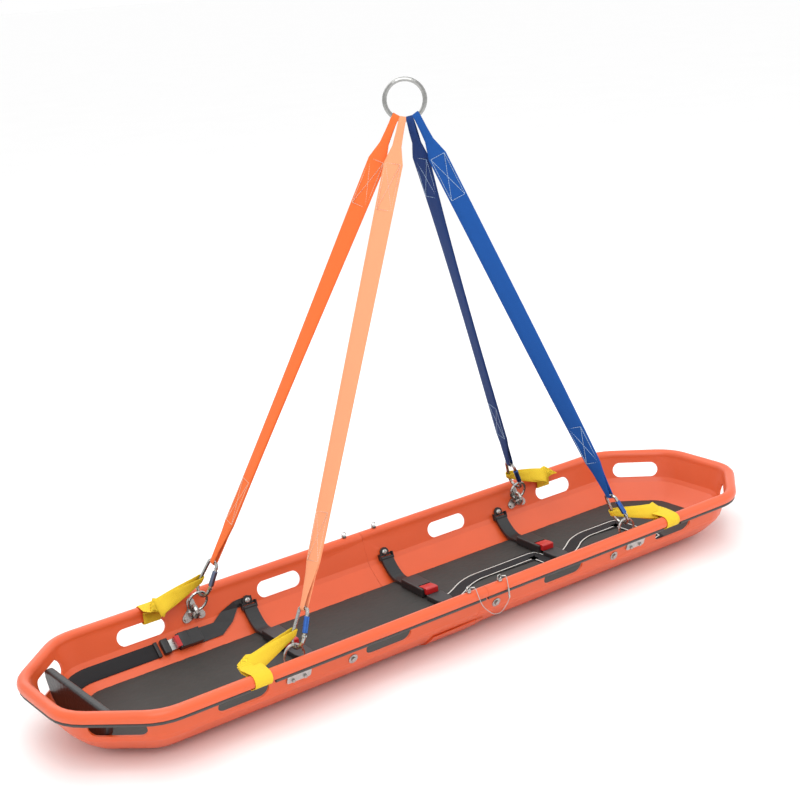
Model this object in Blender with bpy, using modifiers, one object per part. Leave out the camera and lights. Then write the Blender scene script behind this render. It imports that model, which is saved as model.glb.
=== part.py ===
"""Two-piece basket stretcher with mattress, belts and a four-leg lifting sling.

Metres, +Z up. +X runs to the head end, -Y is the front long side, and the
runners rest on z = 0.
"""
import math

import bmesh
import bpy
from mathutils import Matrix, Vector

# Basket, outer sizes
LENGTH = 2.160
WIDTH = 0.560
HEIGHT = 0.160
END_WIDTH = 0.242
TAPER = 0.170
WALL = 0.005
CORNER_RADIUS = 0.120
CORNER_SHRINK = 0.50
CORNER_STEPS = 4
JOINT_GAP = 0.0008

# Basket, cross-section of the inner skin (inset is measured from the rim's outer edge)
RIM_RADIUS = 0.0153
LIP_ANGLE = math.radians(-35)
LIP_STEPS = 7
FLOOR_Z = 0.013
FLOOR_INSET = 0.155
FLOOR_ARC = 0.099
FLOOR_ARC_STEPS = 3
SLOPE = math.radians(45)
KNEE_LOW = (0.0556, 0.0714)
KNEE_HIGH = (0.0483, 0.0833)
WALL_TOP = (2 * RIM_RADIUS, 0.138)

# Hand holes
HOLE_LENGTH = 0.134
HOLE_HEIGHT = 0.043
HOLE_Z = 0.106
HOLE_X = (0.283, 0.690)
HOLE_STEPS = 3

# Joint of the halves
SPIGOT_RADIUS = 0.0096
SPIGOT_ROOT_RADIUS = 0.0110
SPIGOT_LENGTH = 0.090
SPIGOT_ROOT = 0.008
PIN_X = 0.050
PIN_RADIUS = 0.0030
PIN_HOLE_RADIUS = 0.0034
PIN_HEAD_RADIUS = 0.0070
PIN_HEAD_HEIGHT = 0.0040
PIN_EYE_RADIUS = 0.0060
PIN_EYE_WIRE = 0.0013
LANYARD_RADIUS = 0.0009
LANYARD_STEPS = 3
TRAY_REACH = 0.130
TRAY_ROOT = 0.030
TRAY_GAP = 0.0004
TRAY_THICKNESS = 0.0040
TRAY_BITE = 0.0010
TRAY_FLARE = 0.020
RUNNER_Y = 0.113
RUNNER_WIDTH = 0.030
RUNNER_END = 0.852
RUNNER_TOP = 0.0105
RUNNER_NOSE = 0.006

# Mattress
MATTRESS_TOP = 0.0335
MATTRESS_CROWN = 0.0010
MATTRESS_ROLL = 0.0050
MATTRESS_INSET = 0.1075
MATTRESS_SEAT = 0.0006
MATTRESS_FOOT_END = 0.952
REST_GAP = 0.0003

# Footrest
FOOTREST_X = -0.975
FOOTREST_THICKNESS = 0.018
FOOTREST_TOP = 0.139
FOOTREST_SHOULDER = 0.118
FOOTREST_ROUND = 0.014
FOOTREST_BEVEL = 0.0050
FOOTREST_FIT = 0.0006

# Lugs for the sling
LUG_X = 0.543
LUG_Z = 0.112
LUG_PLATE = 0.0035
LUG_EAR_REACH = 0.0190
LUG_EAR_RADIUS = 0.0080
LUG_BOLT_RADIUS = 0.0025
LUG_BOLT_HOLE = 0.0029
LUG_HEAD_RADIUS = 0.0048
LUG_HEAD_HEIGHT = 0.0035
LUG_NUT = 0.0040
LUG_WAIST = 0.0115
LUG_BOSS_RADIUS = 0.0105
LUG_BOSS_HEIGHT = 0.0065
EYE_RADIUS = 0.0115
EYE_WIRE = 0.0040
EYE_STAND = 0.0165
RING_RADIUS = 0.0265
RING_WIRE = 0.0035
LINK_GAP = 0.0007
BACKING_LENGTH = 0.066
BACKING_HEIGHT = 0.042
BACKING_THICKNESS = 0.0030
BACKING_CORNER = 0.0040
BACKING_LIFT = 0.0050

# Carabiners
BOW_RADIUS = 0.0250
CROWN_RADIUS = 0.0090
CROWN_FLAT = 0.0180
CROWN_Z = 0.0930
NOSE_ANGLE = math.radians(7.2)
NOSE_STUB = 0.0050
HOOK_WIRE = 0.0045
BOW_STUB = 0.0010
GATE_RISE = 0.0045
GATE_WIRE = 0.0040
GATE_NOSE_GAP = 0.0006
FORK_RADIUS = 0.0041
TANG_WIDTH = 0.0060
TANG_THICKNESS = 0.0028
FORK_SLOT = 0.0036
FORK_SLOT_TOP = 0.0055
PIVOT_RADIUS = 0.0012
SLEEVE_RADIUS = 0.0068
SLEEVE_LENGTH = 0.0390
SLEEVE_BORE = 0.0049
SLEEVE_START = 0.0065

# Lifting ring and sling legs
LIFT_CENTRE = Vector((0.038, -0.029, 1.3346))
LIFT_RADIUS = 0.0485
LIFT_WIRE = 0.0055
LIFT_CLEARANCE = 0.0010
LIFT_TURN = math.radians(-36)
LEG_SPREAD = math.radians(22)
LEG_WIDTH = 0.046
LEG_EYE_WIDTH = 0.022
LEG_CROWN_WIDTH = 0.015
LEG_THICKNESS = 0.0024
LEG_PLY_GAP = 0.0006
LEG_EYE_LENGTH = 0.110

# Edge loops
LOOP_X = 0.655
LOOP_WIDTH = 0.036
LOOP_HOOK_WIDTH = 0.013
LOOP_THICKNESS = 0.0022
LOOP_CLEARANCE = 0.0008
LOOP_SPINE_PLACE = 0.0090
LOOP_HOOK_CLEARANCE = 0.0016
LOOP_RIM_STEPS = 5
LOOP_LEAVE = math.radians(90)
LOOP_FOLD_Y = 0.2220
LOOP_FOLD_Z = 0.1590
LOOP_FOLD_RUN = 0.020
LOOP_SPREAD = 0.0032
LOOP_ENTER = math.radians(-50)

# Belts
BELT_X = (-0.388, 0.055, 0.467)
BELT_YAW = math.radians(-3.0)
STUD_Z = 0.094
STUD_COLLAR_RADIUS = 0.0090
TAB_COLLAR = 0.0036
STRAP_COLLAR = 0.0024
STUD_SHANK_RADIUS = 0.0040
TAB_SHANK = 0.0073
STRAP_SHANK = 0.0028
STUD_HEAD = (0.0075, 0.0025)
STUD_WASHER = (0.0125, 0.0018)
STUD_WASHER_THICKNESS = 0.0015
STUD_NUT_RADIUS = 0.0060
STUD_NUT_THICKNESS = 0.0050
TAB_ROUND = 0.0140
TAB_WIDTH = 0.0372
TAB_THICKNESS = 0.0030
TAB_PLATE_LOW = 0.0090
TAB_EAR = 0.0030
TAB_EAR_TOP = 0.0020
TAB_EAR_LOW = 0.0205
TAB_EAR_STAND = 0.0155
BAR_RADIUS = 0.0024
BAR_DROP = 0.0165
BAR_STAND = 0.0117
BARREL_RADIUS = 0.0055
STALK_WIDTH = 0.036
STALK_THICKNESS = 0.0080
BUCKLE_WIDTH = 0.050
BUCKLE_BACK = 0.118
BUCKLE_FRONT = 0.016
BUCKLE_HEIGHT = 0.024
BUCKLE_BEVEL = 0.0030
BUTTON_WIDTH = 0.037
BUTTON_BACK = 0.0415
BUTTON_FRONT = 0.006
BUTTON_HEIGHT = 0.0155
BUTTON_PROUD = 0.0025
BUTTON_TRAVEL = 0.004
BLADE_WIDTH = 0.024
BLADE_THICKNESS = 0.0024
BLADE_LIFT = 0.0035
BLADE_REACH = 0.045
TONGUE_WIDTH = 0.048
TONGUE_FRONT = 0.001
TONGUE_END = -0.062
TONGUE_HEIGHT = 0.014
STRAP_WIDTH = 0.042
STRAP_THICKNESS = 0.0020
STRAP_START = 0.012
STRAP_EXIT_Y = -0.030
STRAP_LIFT = 0.0045
STRAP_TAIL = 0.018
STRAP_LEDGE = 0.010
FIT = 0.0004

# Foot belt
FOOT_BELT_WIDTH = 0.040
FOOT_BELT_FOLD = 0.020
FOOT_BUCKLE_X = -0.580
FOOT_BUCKLE_LENGTH = 0.066
FOOT_BUCKLE_WIDTH = 0.040
FOOT_BUCKLE_LIFT = 0.0008
FOOT_BUCKLE_TOP = 0.0190
FOOT_BUTTON_WIDTH = 0.030
FOOT_BUTTON_LOW = 0.0095
FOOT_BUTTON_PROUD = 0.0080
FOOT_BUTTON_REACH = 0.022
FOOT_BUTTON_TRAVEL = 0.003
FOOT_BLADE_WIDTH = 0.020
FOOT_BLADE_LOW = 0.0040
FOOT_TONGUE_LENGTH = 0.032
FOOT_TONGUE_HEIGHT = 0.0125
FOOT_TAIL_X = -0.682
FOOT_TAIL_RUN = 0.030

PARTS = None
GUIDES = None


# Scene helpers

def clear_scene():
    for old in list(bpy.data.objects):
        bpy.data.objects.remove(old, do_unlink=True)


def new_collection(name):
    collection = bpy.data.collections.new(name)
    bpy.context.scene.collection.children.link(collection)
    return collection


def surface(name, colour, roughness, metallic=0.0):
    material = bpy.data.materials.new(name)
    material.use_nodes = True
    shader = material.node_tree.nodes["Principled BSDF"]
    shader.inputs["Base Color"].default_value = (*colour, 1.0)
    shader.inputs["Roughness"].default_value = roughness
    shader.inputs["Metallic"].default_value = metallic
    return material


def orange_shell():
    return surface("orange_polyethylene", (0.87, 0.19, 0.05), 0.38)


def black_vinyl():
    return surface("black_vinyl", (0.075, 0.070, 0.068), 0.62)


def black_plastic():
    return surface("black_plastic", (0.020, 0.020, 0.022), 0.42)


def black_webbing():
    return surface("black_webbing", (0.030, 0.030, 0.034), 0.85)


def red_plastic():
    return surface("red_plastic", (0.62, 0.02, 0.03), 0.35)


def blue_plastic():
    return surface("blue_sleeve", (0.04, 0.11, 0.42), 0.40)


def yellow_webbing():
    return surface("yellow_webbing", (0.93, 0.70, 0.06), 0.80)


def orange_webbing():
    return surface("orange_webbing", (0.95, 0.28, 0.08), 0.80)


def blue_webbing():
    return surface("blue_webbing", (0.02, 0.10, 0.42), 0.80)


def polished_steel():
    return surface("polished_steel", (0.62, 0.62, 0.62), 0.25, 1.0)


def plated_steel():
    return surface("plated_steel", (0.55, 0.53, 0.49), 0.38, 1.0)


def white_plate():
    return surface("pale_plate", (0.78, 0.78, 0.76), 0.45)


def add_object(name, mesh, material, collection=None):
    body = bpy.data.objects.new(name, mesh)
    (collection or PARTS).objects.link(body)
    if material is not None:
        mesh.materials.clear()
        mesh.materials.append(material)
    return body


def from_bmesh(name, bm, material, collection=None, smooth_angle=None, closed=True):
    if closed:
        bmesh.ops.recalc_face_normals(bm, faces=bm.faces)
    mesh = bpy.data.meshes.new(name)
    bm.to_mesh(mesh)
    bm.free()
    if smooth_angle is not None:
        mesh.shade_smooth()
        mesh.set_sharp_from_angle(angle=math.radians(smooth_angle))
    return add_object(name, mesh, material, collection)


def as_guide(body):
    body.hide_render = True
    body.display_type = "WIRE"
    return body


def guide(name, bm):
    return as_guide(from_bmesh(name, bm, None, GUIDES))


def combine(target, operation, other):
    modifier = target.modifiers.new(operation.lower(), "BOOLEAN")
    modifier.operation = operation
    modifier.solver = "EXACT"
    modifier.object = other
    return modifier


def bake(body):
    """Apply the modifiers of a body, so that copies of it can share the finished mesh."""
    bpy.context.view_layer.update()
    depsgraph = bpy.context.evaluated_depsgraph_get()
    mesh = bpy.data.meshes.new_from_object(body.evaluated_get(depsgraph))
    body.modifiers.clear()
    body.data = mesh
    return body


def place_copies(body, names, frames):
    """The finished body becomes the first copy, and the other copies share its mesh."""
    bake(body)
    copies = []
    for index, (name, matrix) in enumerate(zip(names, frames)):
        copy = body if index == 0 else bpy.data.objects.new(name, body.data)
        if index > 0:
            PARTS.objects.link(copy)
        copy.name = name
        copy.matrix_world = matrix
        copies.append(copy)
    return copies


def frame(origin, x_axis, z_axis):
    """A frame at origin with the given Z axis, and its X axis as near x_axis as it can be."""
    z_axis = Vector(z_axis).normalized()
    x_axis = Vector(x_axis)
    x_axis = (x_axis - z_axis * x_axis.dot(z_axis)).normalized()
    y_axis = z_axis.cross(x_axis)
    matrix = Matrix((x_axis, y_axis, z_axis)).transposed().to_4x4()
    matrix.translation = Vector(origin)
    return matrix


# Solid helpers

def add_cylinder(bm, radius, low, high, matrix=Matrix(), segments=16):
    depth = high - low
    middle = Matrix.Translation((0, 0, (low + high) / 2))
    bmesh.ops.create_cone(bm, cap_ends=True, segments=segments, radius1=radius,
                          radius2=radius, depth=depth, matrix=matrix @ middle)


def add_box(bm, low, high, matrix=Matrix()):
    low = Vector(low)
    high = Vector(high)
    size = Matrix.Diagonal((*(high - low), 1.0))
    bmesh.ops.create_cube(bm, size=1.0, matrix=matrix @ Matrix.Translation((low + high) / 2) @ size)


def flat_shape(name, outline, low, high, matrix=Matrix(), material=None, collection=None, holes=()):
    """A flat outline in local XY with its holes, filled and extruded from low to high along local Z."""
    curve = bpy.data.curves.new(name, "CURVE")
    curve.dimensions = "2D"
    curve.fill_mode = "BOTH"
    curve.extrude = (high - low) / 2
    for loop in [outline] + list(holes):
        spline = curve.splines.new("POLY")
        spline.points.add(len(loop) - 1)
        for target, (x, y) in zip(spline.points, loop):
            target.co = (x, y, 0.0, 1.0)
        spline.use_cyclic_u = True
    body = bpy.data.objects.new(name, curve)
    (collection or PARTS).objects.link(body)
    body = curve_to_mesh(body, material, collection)
    body.data.transform(matrix @ Matrix.Translation((0, 0, (low + high) / 2)))
    return body


def join_rings(bm, ring, following):
    count = len(ring)
    for i in range(count):
        j = (i + 1) % count
        bm.faces.new((ring[i], ring[j], following[j], following[i]))


def wire_ring(name, radius, wire, steps, around, material=None, collection=None):
    """A ring of round wire in local XY."""
    bpy.ops.mesh.primitive_torus_add(major_radius=radius, minor_radius=wire,
                                     major_segments=steps, minor_segments=around)
    body = bpy.context.object
    for owner in list(body.users_collection):
        owner.objects.unlink(body)
    mesh = body.data
    bpy.data.objects.remove(body, do_unlink=True)
    mesh.shade_smooth()
    return add_object(name, mesh, material, collection)


def slot_outline(length, height, steps):
    radius = height / 2
    half = length / 2 - radius
    points = []
    for side in (1, -1):
        for i in range(steps + 1):
            angle = -math.pi / 2 + math.pi * i / steps
            points.append((side * (half + radius * math.cos(angle)), side * radius * math.sin(angle)))
    return points


def round_hole(centre, radius, steps):
    return arc_points(centre, radius, 0, 2 * math.pi, steps)[:-1]


def arc_points(centre, radius, start, end, steps):
    points = []
    for i in range(steps + 1):
        angle = start + (end - start) * i / steps
        points.append((centre[0] + radius * math.cos(angle), centre[1] + radius * math.sin(angle)))
    return points


def turned(name, profile, steps, material, collection=None):
    """A profile of (radius, height) points from axis to axis, turned about Z."""
    mesh = bpy.data.meshes.new(name)
    points = [(radius, 0, height) for radius, height in profile]
    edges = [(i, i + 1) for i in range(len(points) - 1)]
    mesh.from_pydata(points, edges, [])
    body = add_object(name, mesh, material, collection)
    screw = body.modifiers.new("turn", "SCREW")
    screw.axis = "Z"
    screw.angle = 2 * math.pi
    screw.steps = steps
    screw.render_steps = steps
    screw.use_merge_vertices = True
    screw.merge_threshold = 0.00001
    screw.use_normal_calculate = True
    return body


def tube(name, points, radius, material, collection=None, closed=False, resolution=1):
    """A round wire through the points, with filled ends."""
    curve = bpy.data.curves.new(name, "CURVE")
    curve.dimensions = "3D"
    curve.bevel_depth = radius
    curve.bevel_resolution = resolution
    curve.use_fill_caps = not closed
    spline = curve.splines.new("POLY")
    spline.points.add(len(points) - 1)
    for target, point in zip(spline.points, points):
        target.co = (*point, 1.0)
    spline.use_cyclic_u = closed
    body = bpy.data.objects.new(name, curve)
    (collection or PARTS).objects.link(body)
    return curve_to_mesh(body, material, collection)


def curve_to_mesh(body, material, collection=None):
    bpy.context.view_layer.update()
    depsgraph = bpy.context.evaluated_depsgraph_get()
    mesh = bpy.data.meshes.new_from_object(body.evaluated_get(depsgraph))
    bm = bmesh.new()
    bm.from_mesh(mesh)
    bmesh.ops.remove_doubles(bm, verts=bm.verts, dist=0.00001)
    bmesh.ops.recalc_face_normals(bm, faces=bm.faces)
    bm.to_mesh(mesh)
    bm.free()
    mesh.shade_smooth()
    mesh.set_sharp_from_angle(angle=math.radians(40))
    name = body.name
    bpy.data.objects.remove(body, do_unlink=True)
    return add_object(name, mesh, material, collection)


def join_twisted(bm, ring, following):
    """Joins two four-cornered rings of a band with triangles, because a twisted face isn't flat.

    Both wide faces are creased along the same diagonal, whichever way the band runs, so that
    the plies of a twisted leg nest without crossing.
    """
    rising = following[0].co.z > ring[0].co.z
    for i in range(4):
        j = (i + 1) % 4
        corners = [ring[i], ring[j], following[j], following[i]]
        if rising != (i < 2):
            corners = corners[1:] + corners[:1]
        bm.faces.new(corners[:3])
        bm.faces.new((corners[2], corners[3], corners[0]))


def add_ribbon(bm, stations, thickness, closed=False):
    """A flat band. Each station is its centre point, its width vector and its width."""
    count = len(stations)
    rings = []
    for i, (point, across, width) in enumerate(stations):
        before = stations[i - 1][0] if closed or i > 0 else point
        after = stations[(i + 1) % count][0] if closed or i < count - 1 else point
        along = (after - before).normalized()
        across = (across - along * across.dot(along)).normalized()
        normal = along.cross(across)
        half = across * width / 2
        rise = normal * thickness / 2
        corners = (half + rise, -half + rise, -half - rise, half - rise)
        rings.append([bm.verts.new(point + corner) for corner in corners])
    last = count if closed else count - 1
    for i in range(last):
        join_twisted(bm, rings[i], rings[(i + 1) % count])
    if not closed:
        bm.faces.new(list(reversed(rings[0])))
        bm.faces.new(rings[-1])


def smooth_path(points, steps):
    """A soft line through the points (Catmull-Rom). A point is any vector."""
    result = []
    last = len(points) - 1
    for i in range(last):
        before = points[max(i - 1, 0)]
        start = points[i]
        end = points[i + 1]
        after = points[min(i + 2, last)]
        for step in range(steps):
            t = step / steps
            result.append(0.5 * (2 * start + (end - before) * t
                                 + (2 * before - 5 * start + 4 * end - after) * t * t
                                 + (3 * start - before - 3 * end + after) * t ** 3))
    result.append(points[last].copy())
    return result


# Basket

def wall_slope():
    return math.atan2(KNEE_HIGH[0] - WALL_TOP[0], WALL_TOP[1] - KNEE_HIGH[1])


def wall_inset(z):
    """Inset of the upper wall's inner skin at a height."""
    return WALL_TOP[0] + (WALL_TOP[1] - z) * math.tan(wall_slope())


def wall_frame(x, z, side):
    """On the inner skin of a long wall: local Z points into the basket, local Y up the wall."""
    tilt = wall_slope()
    origin = (x, side * (WIDTH / 2 - wall_inset(z)), z)
    inward = (0, -side * math.cos(tilt), math.sin(tilt))
    return frame(origin, (side, 0, 0), inward)


def section_levels():
    """Inset and height of each level of the inner skin, from the floor to the lip."""
    levels = []
    centre_z = FLOOR_Z + FLOOR_ARC
    for i in range(FLOOR_ARC_STEPS + 1):
        angle = SLOPE * i / FLOOR_ARC_STEPS
        levels.append((FLOOR_INSET - FLOOR_ARC * math.sin(angle), centre_z - FLOOR_ARC * math.cos(angle)))
    levels.append(KNEE_LOW)
    levels.append(KNEE_HIGH)
    levels.append(WALL_TOP)
    for i in range(LIP_STEPS + 1):
        angle = math.pi + (LIP_ANGLE - math.pi) * i / LIP_STEPS
        inset = RIM_RADIUS - RIM_RADIUS * math.cos(angle)
        levels.append((inset, HEIGHT - RIM_RADIUS + RIM_RADIUS * math.sin(angle)))
    return levels


def taper_angle():
    return math.atan2((WIDTH - END_WIDTH) / 2, TAPER)


def plan_corners(inset):
    """Corner points of one quarter of the plan at an inset: side to taper, taper to end."""
    angle = taper_angle()
    side_y = WIDTH / 2 - inset
    end_x = LENGTH / 2 - inset
    side_x = LENGTH / 2 - TAPER - inset * math.tan(angle / 2)
    end_y = END_WIDTH / 2 - inset * math.tan((math.pi / 2 - angle) / 2)
    return Vector((side_x, side_y)), Vector((end_x, end_y))


def rounded(corner, into, out_of, radius):
    """Points of the arc that rounds a left-hand corner between two directions."""
    turn = into.angle(out_of)
    start = corner - into * radius * math.tan(turn / 2)
    left = Vector((-into.y, into.x))
    centre = start + left * radius
    heading = math.atan2(-left.y, -left.x)
    return [Vector(p) for p in arc_points(centre, radius, heading, heading + turn, CORNER_STEPS)]


def quarter_outline(end, inset, joint_x, end_x=None):
    """Plan points of a back quarter at an inset, counter-clockwise seen from above."""
    radius = CORNER_RADIUS - CORNER_SHRINK * inset
    side_corner, end_corner = plan_corners(inset)
    run = end_corner - side_corner
    if end_x is not None:
        end_corner = side_corner + run * (end_x - side_corner.x) / run.x
    widening = -run.normalized()
    points = [Vector((end_corner.x, 0))]
    points += rounded(end_corner, Vector((0, 1)), widening, radius)
    points += rounded(side_corner, widening, Vector((-1, 0)), radius)
    points.append(Vector((joint_x, side_corner.y)))
    if end > 0:
        return points
    return [Vector((-p.x, p.y)) for p in reversed(points)]


def mirror_front(body):
    """The front half repeats the back half."""
    mirror = body.modifiers.new("front", "MIRROR")
    mirror.use_axis = (False, True, False)
    mirror.merge_threshold = 0.00001


def thicken(body, thickness):
    solidify = body.modifiers.new("wall", "SOLIDIFY")
    solidify.thickness = thickness
    solidify.offset = -1
    solidify.use_even_offset = True
    solidify.use_quality_normals = True


def shell_skin(name, end, material):
    """The inner skin of one half, thickened outward to the wall."""
    bm = bmesh.new()
    rings = []
    for inset, z in section_levels():
        outline = quarter_outline(end, inset, JOINT_GAP / 2)
        rings.append([bm.verts.new((p.x, p.y, z)) for p in outline])
    middle = bm.verts.new((end * JOINT_GAP / 2, 0, FLOOR_Z))
    bm.faces.new(rings[0] + [middle])
    for low, high in zip(rings, rings[1:]):
        for i in range(len(low) - 1):
            bm.faces.new((low[i], high[i], high[i + 1], low[i + 1]))
    body = from_bmesh(name, bm, material, smooth_angle=40, closed=False)
    mirror_front(body)
    thicken(body, WALL)
    return body


def taper_frame(end, side, z):
    """On the inner skin of a tapered wall, in the middle of its length."""
    side_corner, end_corner = plan_corners(wall_inset(z))
    middle = (side_corner + end_corner) / 2
    run = (end_corner - side_corner).normalized()
    tilt = wall_slope()
    origin = (end * middle.x, side * middle.y, z)
    outward = Vector((-run.y * end, run.x * side, 0))
    inward = -outward * math.cos(tilt) + Vector((0, 0, math.sin(tilt)))
    return frame(origin, (run.x * end, run.y * side, 0), inward)


def merged(name, bodies):
    """Separate finished solids in one guide mesh."""
    bm = bmesh.new()
    bpy.context.view_layer.update()
    for body in bodies:
        mesh = body.data.copy()
        mesh.transform(body.matrix_world)
        bm.from_mesh(mesh)
        bpy.data.meshes.remove(mesh)
        bpy.data.objects.remove(body, do_unlink=True)
    return guide(name, bm)


def wall_cutters(end):
    """The hand holes and the lugs' bolt holes of one half."""
    outline = slot_outline(HOLE_LENGTH, HOLE_HEIGHT, HOLE_STEPS)
    reach = 6 * WALL
    places = []
    for side in (-1, 1):
        places += [wall_frame(end * x, HOLE_Z, side) for x in HOLE_X]
        places.append(taper_frame(end, side, HOLE_Z))
    bodies = [flat_shape("hole", outline, -reach, reach, place, None, GUIDES) for place in places]
    bm = bmesh.new()
    for side in (-1, 1):
        lug = wall_frame(end * LUG_X, LUG_Z, side)
        for x, y in ear_centres():
            hole = lug @ Matrix.Translation((x, y, 0))
            add_cylinder(bm, LUG_BOLT_HOLE, -2 * WALL, 2 * WALL, hole, segments=6)
    bodies.append(guide("bolt_holes", bm))
    return merged("wall_holes", bodies)


def pin_cutters(places):
    """Upright holes through the rim and the spigot at the given X places."""
    bm = bmesh.new()
    for x in places:
        for side in (-1, 1):
            middle = Matrix.Translation((x, side * rim_middle(), 0))
            add_cylinder(bm, PIN_HOLE_RADIUS, HEIGHT - 2.5 * RIM_RADIUS, HEIGHT + RIM_RADIUS, middle, 8)
    return guide("pin_holes", bm)


def rim_middle():
    """Distance of the rolled rim's centre line from the basket's middle."""
    return WIDTH / 2 - RIM_RADIUS


def runner_profile(end):
    """Side view of a runner. The head half's runner goes on below the tray."""
    toe = RUNNER_TOP / 2
    if end < 0:
        start = -RUNNER_END
        stop = -TRAY_REACH - RUNNER_NOSE
        return [(start, toe), (start + RUNNER_NOSE, 0), (stop - RUNNER_NOSE, 0),
                (stop, toe), (stop, RUNNER_TOP), (start, RUNNER_TOP)]
    tray_top = FLOOR_Z - WALL - TRAY_GAP - TRAY_BITE
    root = TRAY_ROOT / 3
    start = -TRAY_REACH + RUNNER_NOSE
    return [(start, toe / 2), (start + RUNNER_NOSE, 0), (RUNNER_END - RUNNER_NOSE, 0), (RUNNER_END, toe),
            (RUNNER_END, RUNNER_TOP), (root, RUNNER_TOP), (root, tray_top), (start, tray_top)]


def runners(end):
    half = RUNNER_WIDTH / 2
    bodies = []
    for side in (-1, 1):
        upright = frame((0, side * RUNNER_Y, 0), (1, 0, 0), (0, -1, 0))
        bodies.append(flat_shape("runner", runner_profile(end), -half, half, upright, None, GUIDES))
    return merged("runner_solids", bodies)


def stud(end_size, shank_height, collar_height, matrix):
    """A belt stud moulded into the wall, from its inner head to the nut outside."""
    end_radius, end_thickness = end_size
    top = shank_height + end_thickness
    outer = -WALL - STUD_WASHER_THICKNESS
    flare = 1.2 * STUD_COLLAR_RADIUS
    profile = [(0, top), (end_radius, top), (end_radius, shank_height), (STUD_SHANK_RADIUS, shank_height),
               (STUD_SHANK_RADIUS, collar_height), (STUD_COLLAR_RADIUS, collar_height),
               (STUD_COLLAR_RADIUS, -WALL / 2), (flare, -WALL / 2), (flare, outer),
               (STUD_NUT_RADIUS, outer), (STUD_NUT_RADIUS, outer - STUD_NUT_THICKNESS),
               (0, outer - STUD_NUT_THICKNESS)]
    body = turned("stud", profile, 10, None, GUIDES)
    bake(body)
    body.matrix_world = matrix
    return body


def belt_studs(places):
    bodies = []
    for x in places:
        bodies.append(stud(STUD_HEAD, TAB_SHANK, TAB_COLLAR, station_wall(x)))
        bodies.append(stud(STUD_WASHER, STRAP_SHANK, STRAP_COLLAR, wall_frame(x, STUD_Z, -1)))
    return merged("stud_solids", bodies)


def spigots():
    bodies = []
    profile = [(0, SPIGOT_LENGTH), (SPIGOT_ROOT_RADIUS, SPIGOT_LENGTH), (SPIGOT_ROOT_RADIUS, SPIGOT_ROOT),
               (SPIGOT_RADIUS, SPIGOT_ROOT), (SPIGOT_RADIUS, -SPIGOT_LENGTH), (0, -SPIGOT_LENGTH)]
    for side in (-1, 1):
        body = turned("spigot", profile, 12, None, GUIDES)
        bake(body)
        body.matrix_world = frame((0, side * rim_middle(), HEIGHT - RIM_RADIUS), (0, 1, 0), (1, 0, 0))
        bodies.append(body)
    return merged("spigot_solids", bodies)


def tray_points(depth):
    """Section of the under-lap tray: the shell's inner skin pushed out by a depth."""
    centre_y = WIDTH / 2 - FLOOR_INSET
    centre_z = FLOOR_Z + FLOOR_ARC
    radius = FLOOR_ARC + depth
    flare = TRAY_FLARE * math.sqrt(0.5)
    half = []
    for i in range(FLOOR_ARC_STEPS + 1):
        angle = SLOPE * i / FLOOR_ARC_STEPS
        half.append((centre_y + radius * math.sin(angle), centre_z - radius * math.cos(angle)))
    half.append((half[-1][0] + flare, half[-1][1] + flare))
    return half


def tray():
    free = tray_points(WALL + TRAY_GAP)
    held = tray_points(WALL - TRAY_BITE)
    stations = ((-TRAY_REACH, free), (TRAY_ROOT * 0.1, free), (TRAY_ROOT * 0.2, held), (TRAY_ROOT, held))
    bm = bmesh.new()
    rows = []
    for x, points in stations:
        rows.append([bm.verts.new((x, y, z)) for y, z in [(0, points[0][1])] + points])
    for row, following in zip(rows, rows[1:]):
        for i in range(len(row) - 1):
            bm.faces.new((row[i], following[i], following[i + 1], row[i + 1]))
    body = from_bmesh("tray", bm, None, GUIDES, closed=False)
    mirror_front(body)
    thicken(body, TRAY_THICKNESS)
    return as_guide(body)


def foot_half(material):
    body = shell_skin("foot_half_shell", -1, material)
    combine(body, "UNION", runners(-1))
    combine(body, "UNION", belt_studs(BELT_X[:1]))
    combine(body, "DIFFERENCE", wall_cutters(-1))
    combine(body, "DIFFERENCE", pin_cutters((-PIN_X,)))


def head_half(material):
    body = shell_skin("head_half_shell", 1, material)
    combine(body, "UNION", spigots())
    combine(body, "UNION", tray())
    combine(body, "UNION", runners(1))
    combine(body, "UNION", belt_studs(BELT_X[1:]))
    combine(body, "DIFFERENCE", wall_cutters(1))
    combine(body, "DIFFERENCE", pin_cutters((-PIN_X, PIN_X)))


def lock_pins(material):
    """Shaft down through rim and spigot, with a flat head and an eye for the wire."""
    head = HEIGHT + REST_GAP
    top = head + PIN_HEAD_HEIGHT
    shaft_end = HEIGHT - 2 * RIM_RADIUS
    profile = [(0, top), (PIN_HEAD_RADIUS, top), (PIN_HEAD_RADIUS, head), (PIN_RADIUS, head),
               (PIN_RADIUS, shaft_end + PIN_RADIUS), (0, shaft_end)]
    body = turned("lock_pin", profile, 10, material)
    eye = wire_ring("pin_eye", PIN_EYE_RADIUS, PIN_EYE_WIRE, 12, 4, None, GUIDES)
    eye.matrix_world = frame((0, 0, top + PIN_EYE_RADIUS - REST_GAP), (1, 0, 0), (0, 1, 0))
    combine(body, "UNION", as_guide(eye))
    names = []
    frames = []
    for end, end_name in ((-1, "foot"), (1, "head")):
        for side, side_name in ((-1, "front"), (1, "back")):
            names.append(f"lock_pin_{end_name}_{side_name}")
            frames.append(Matrix.Translation((end * PIN_X, side * rim_middle(), 0)))
    place_copies(body, names, frames)


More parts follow.
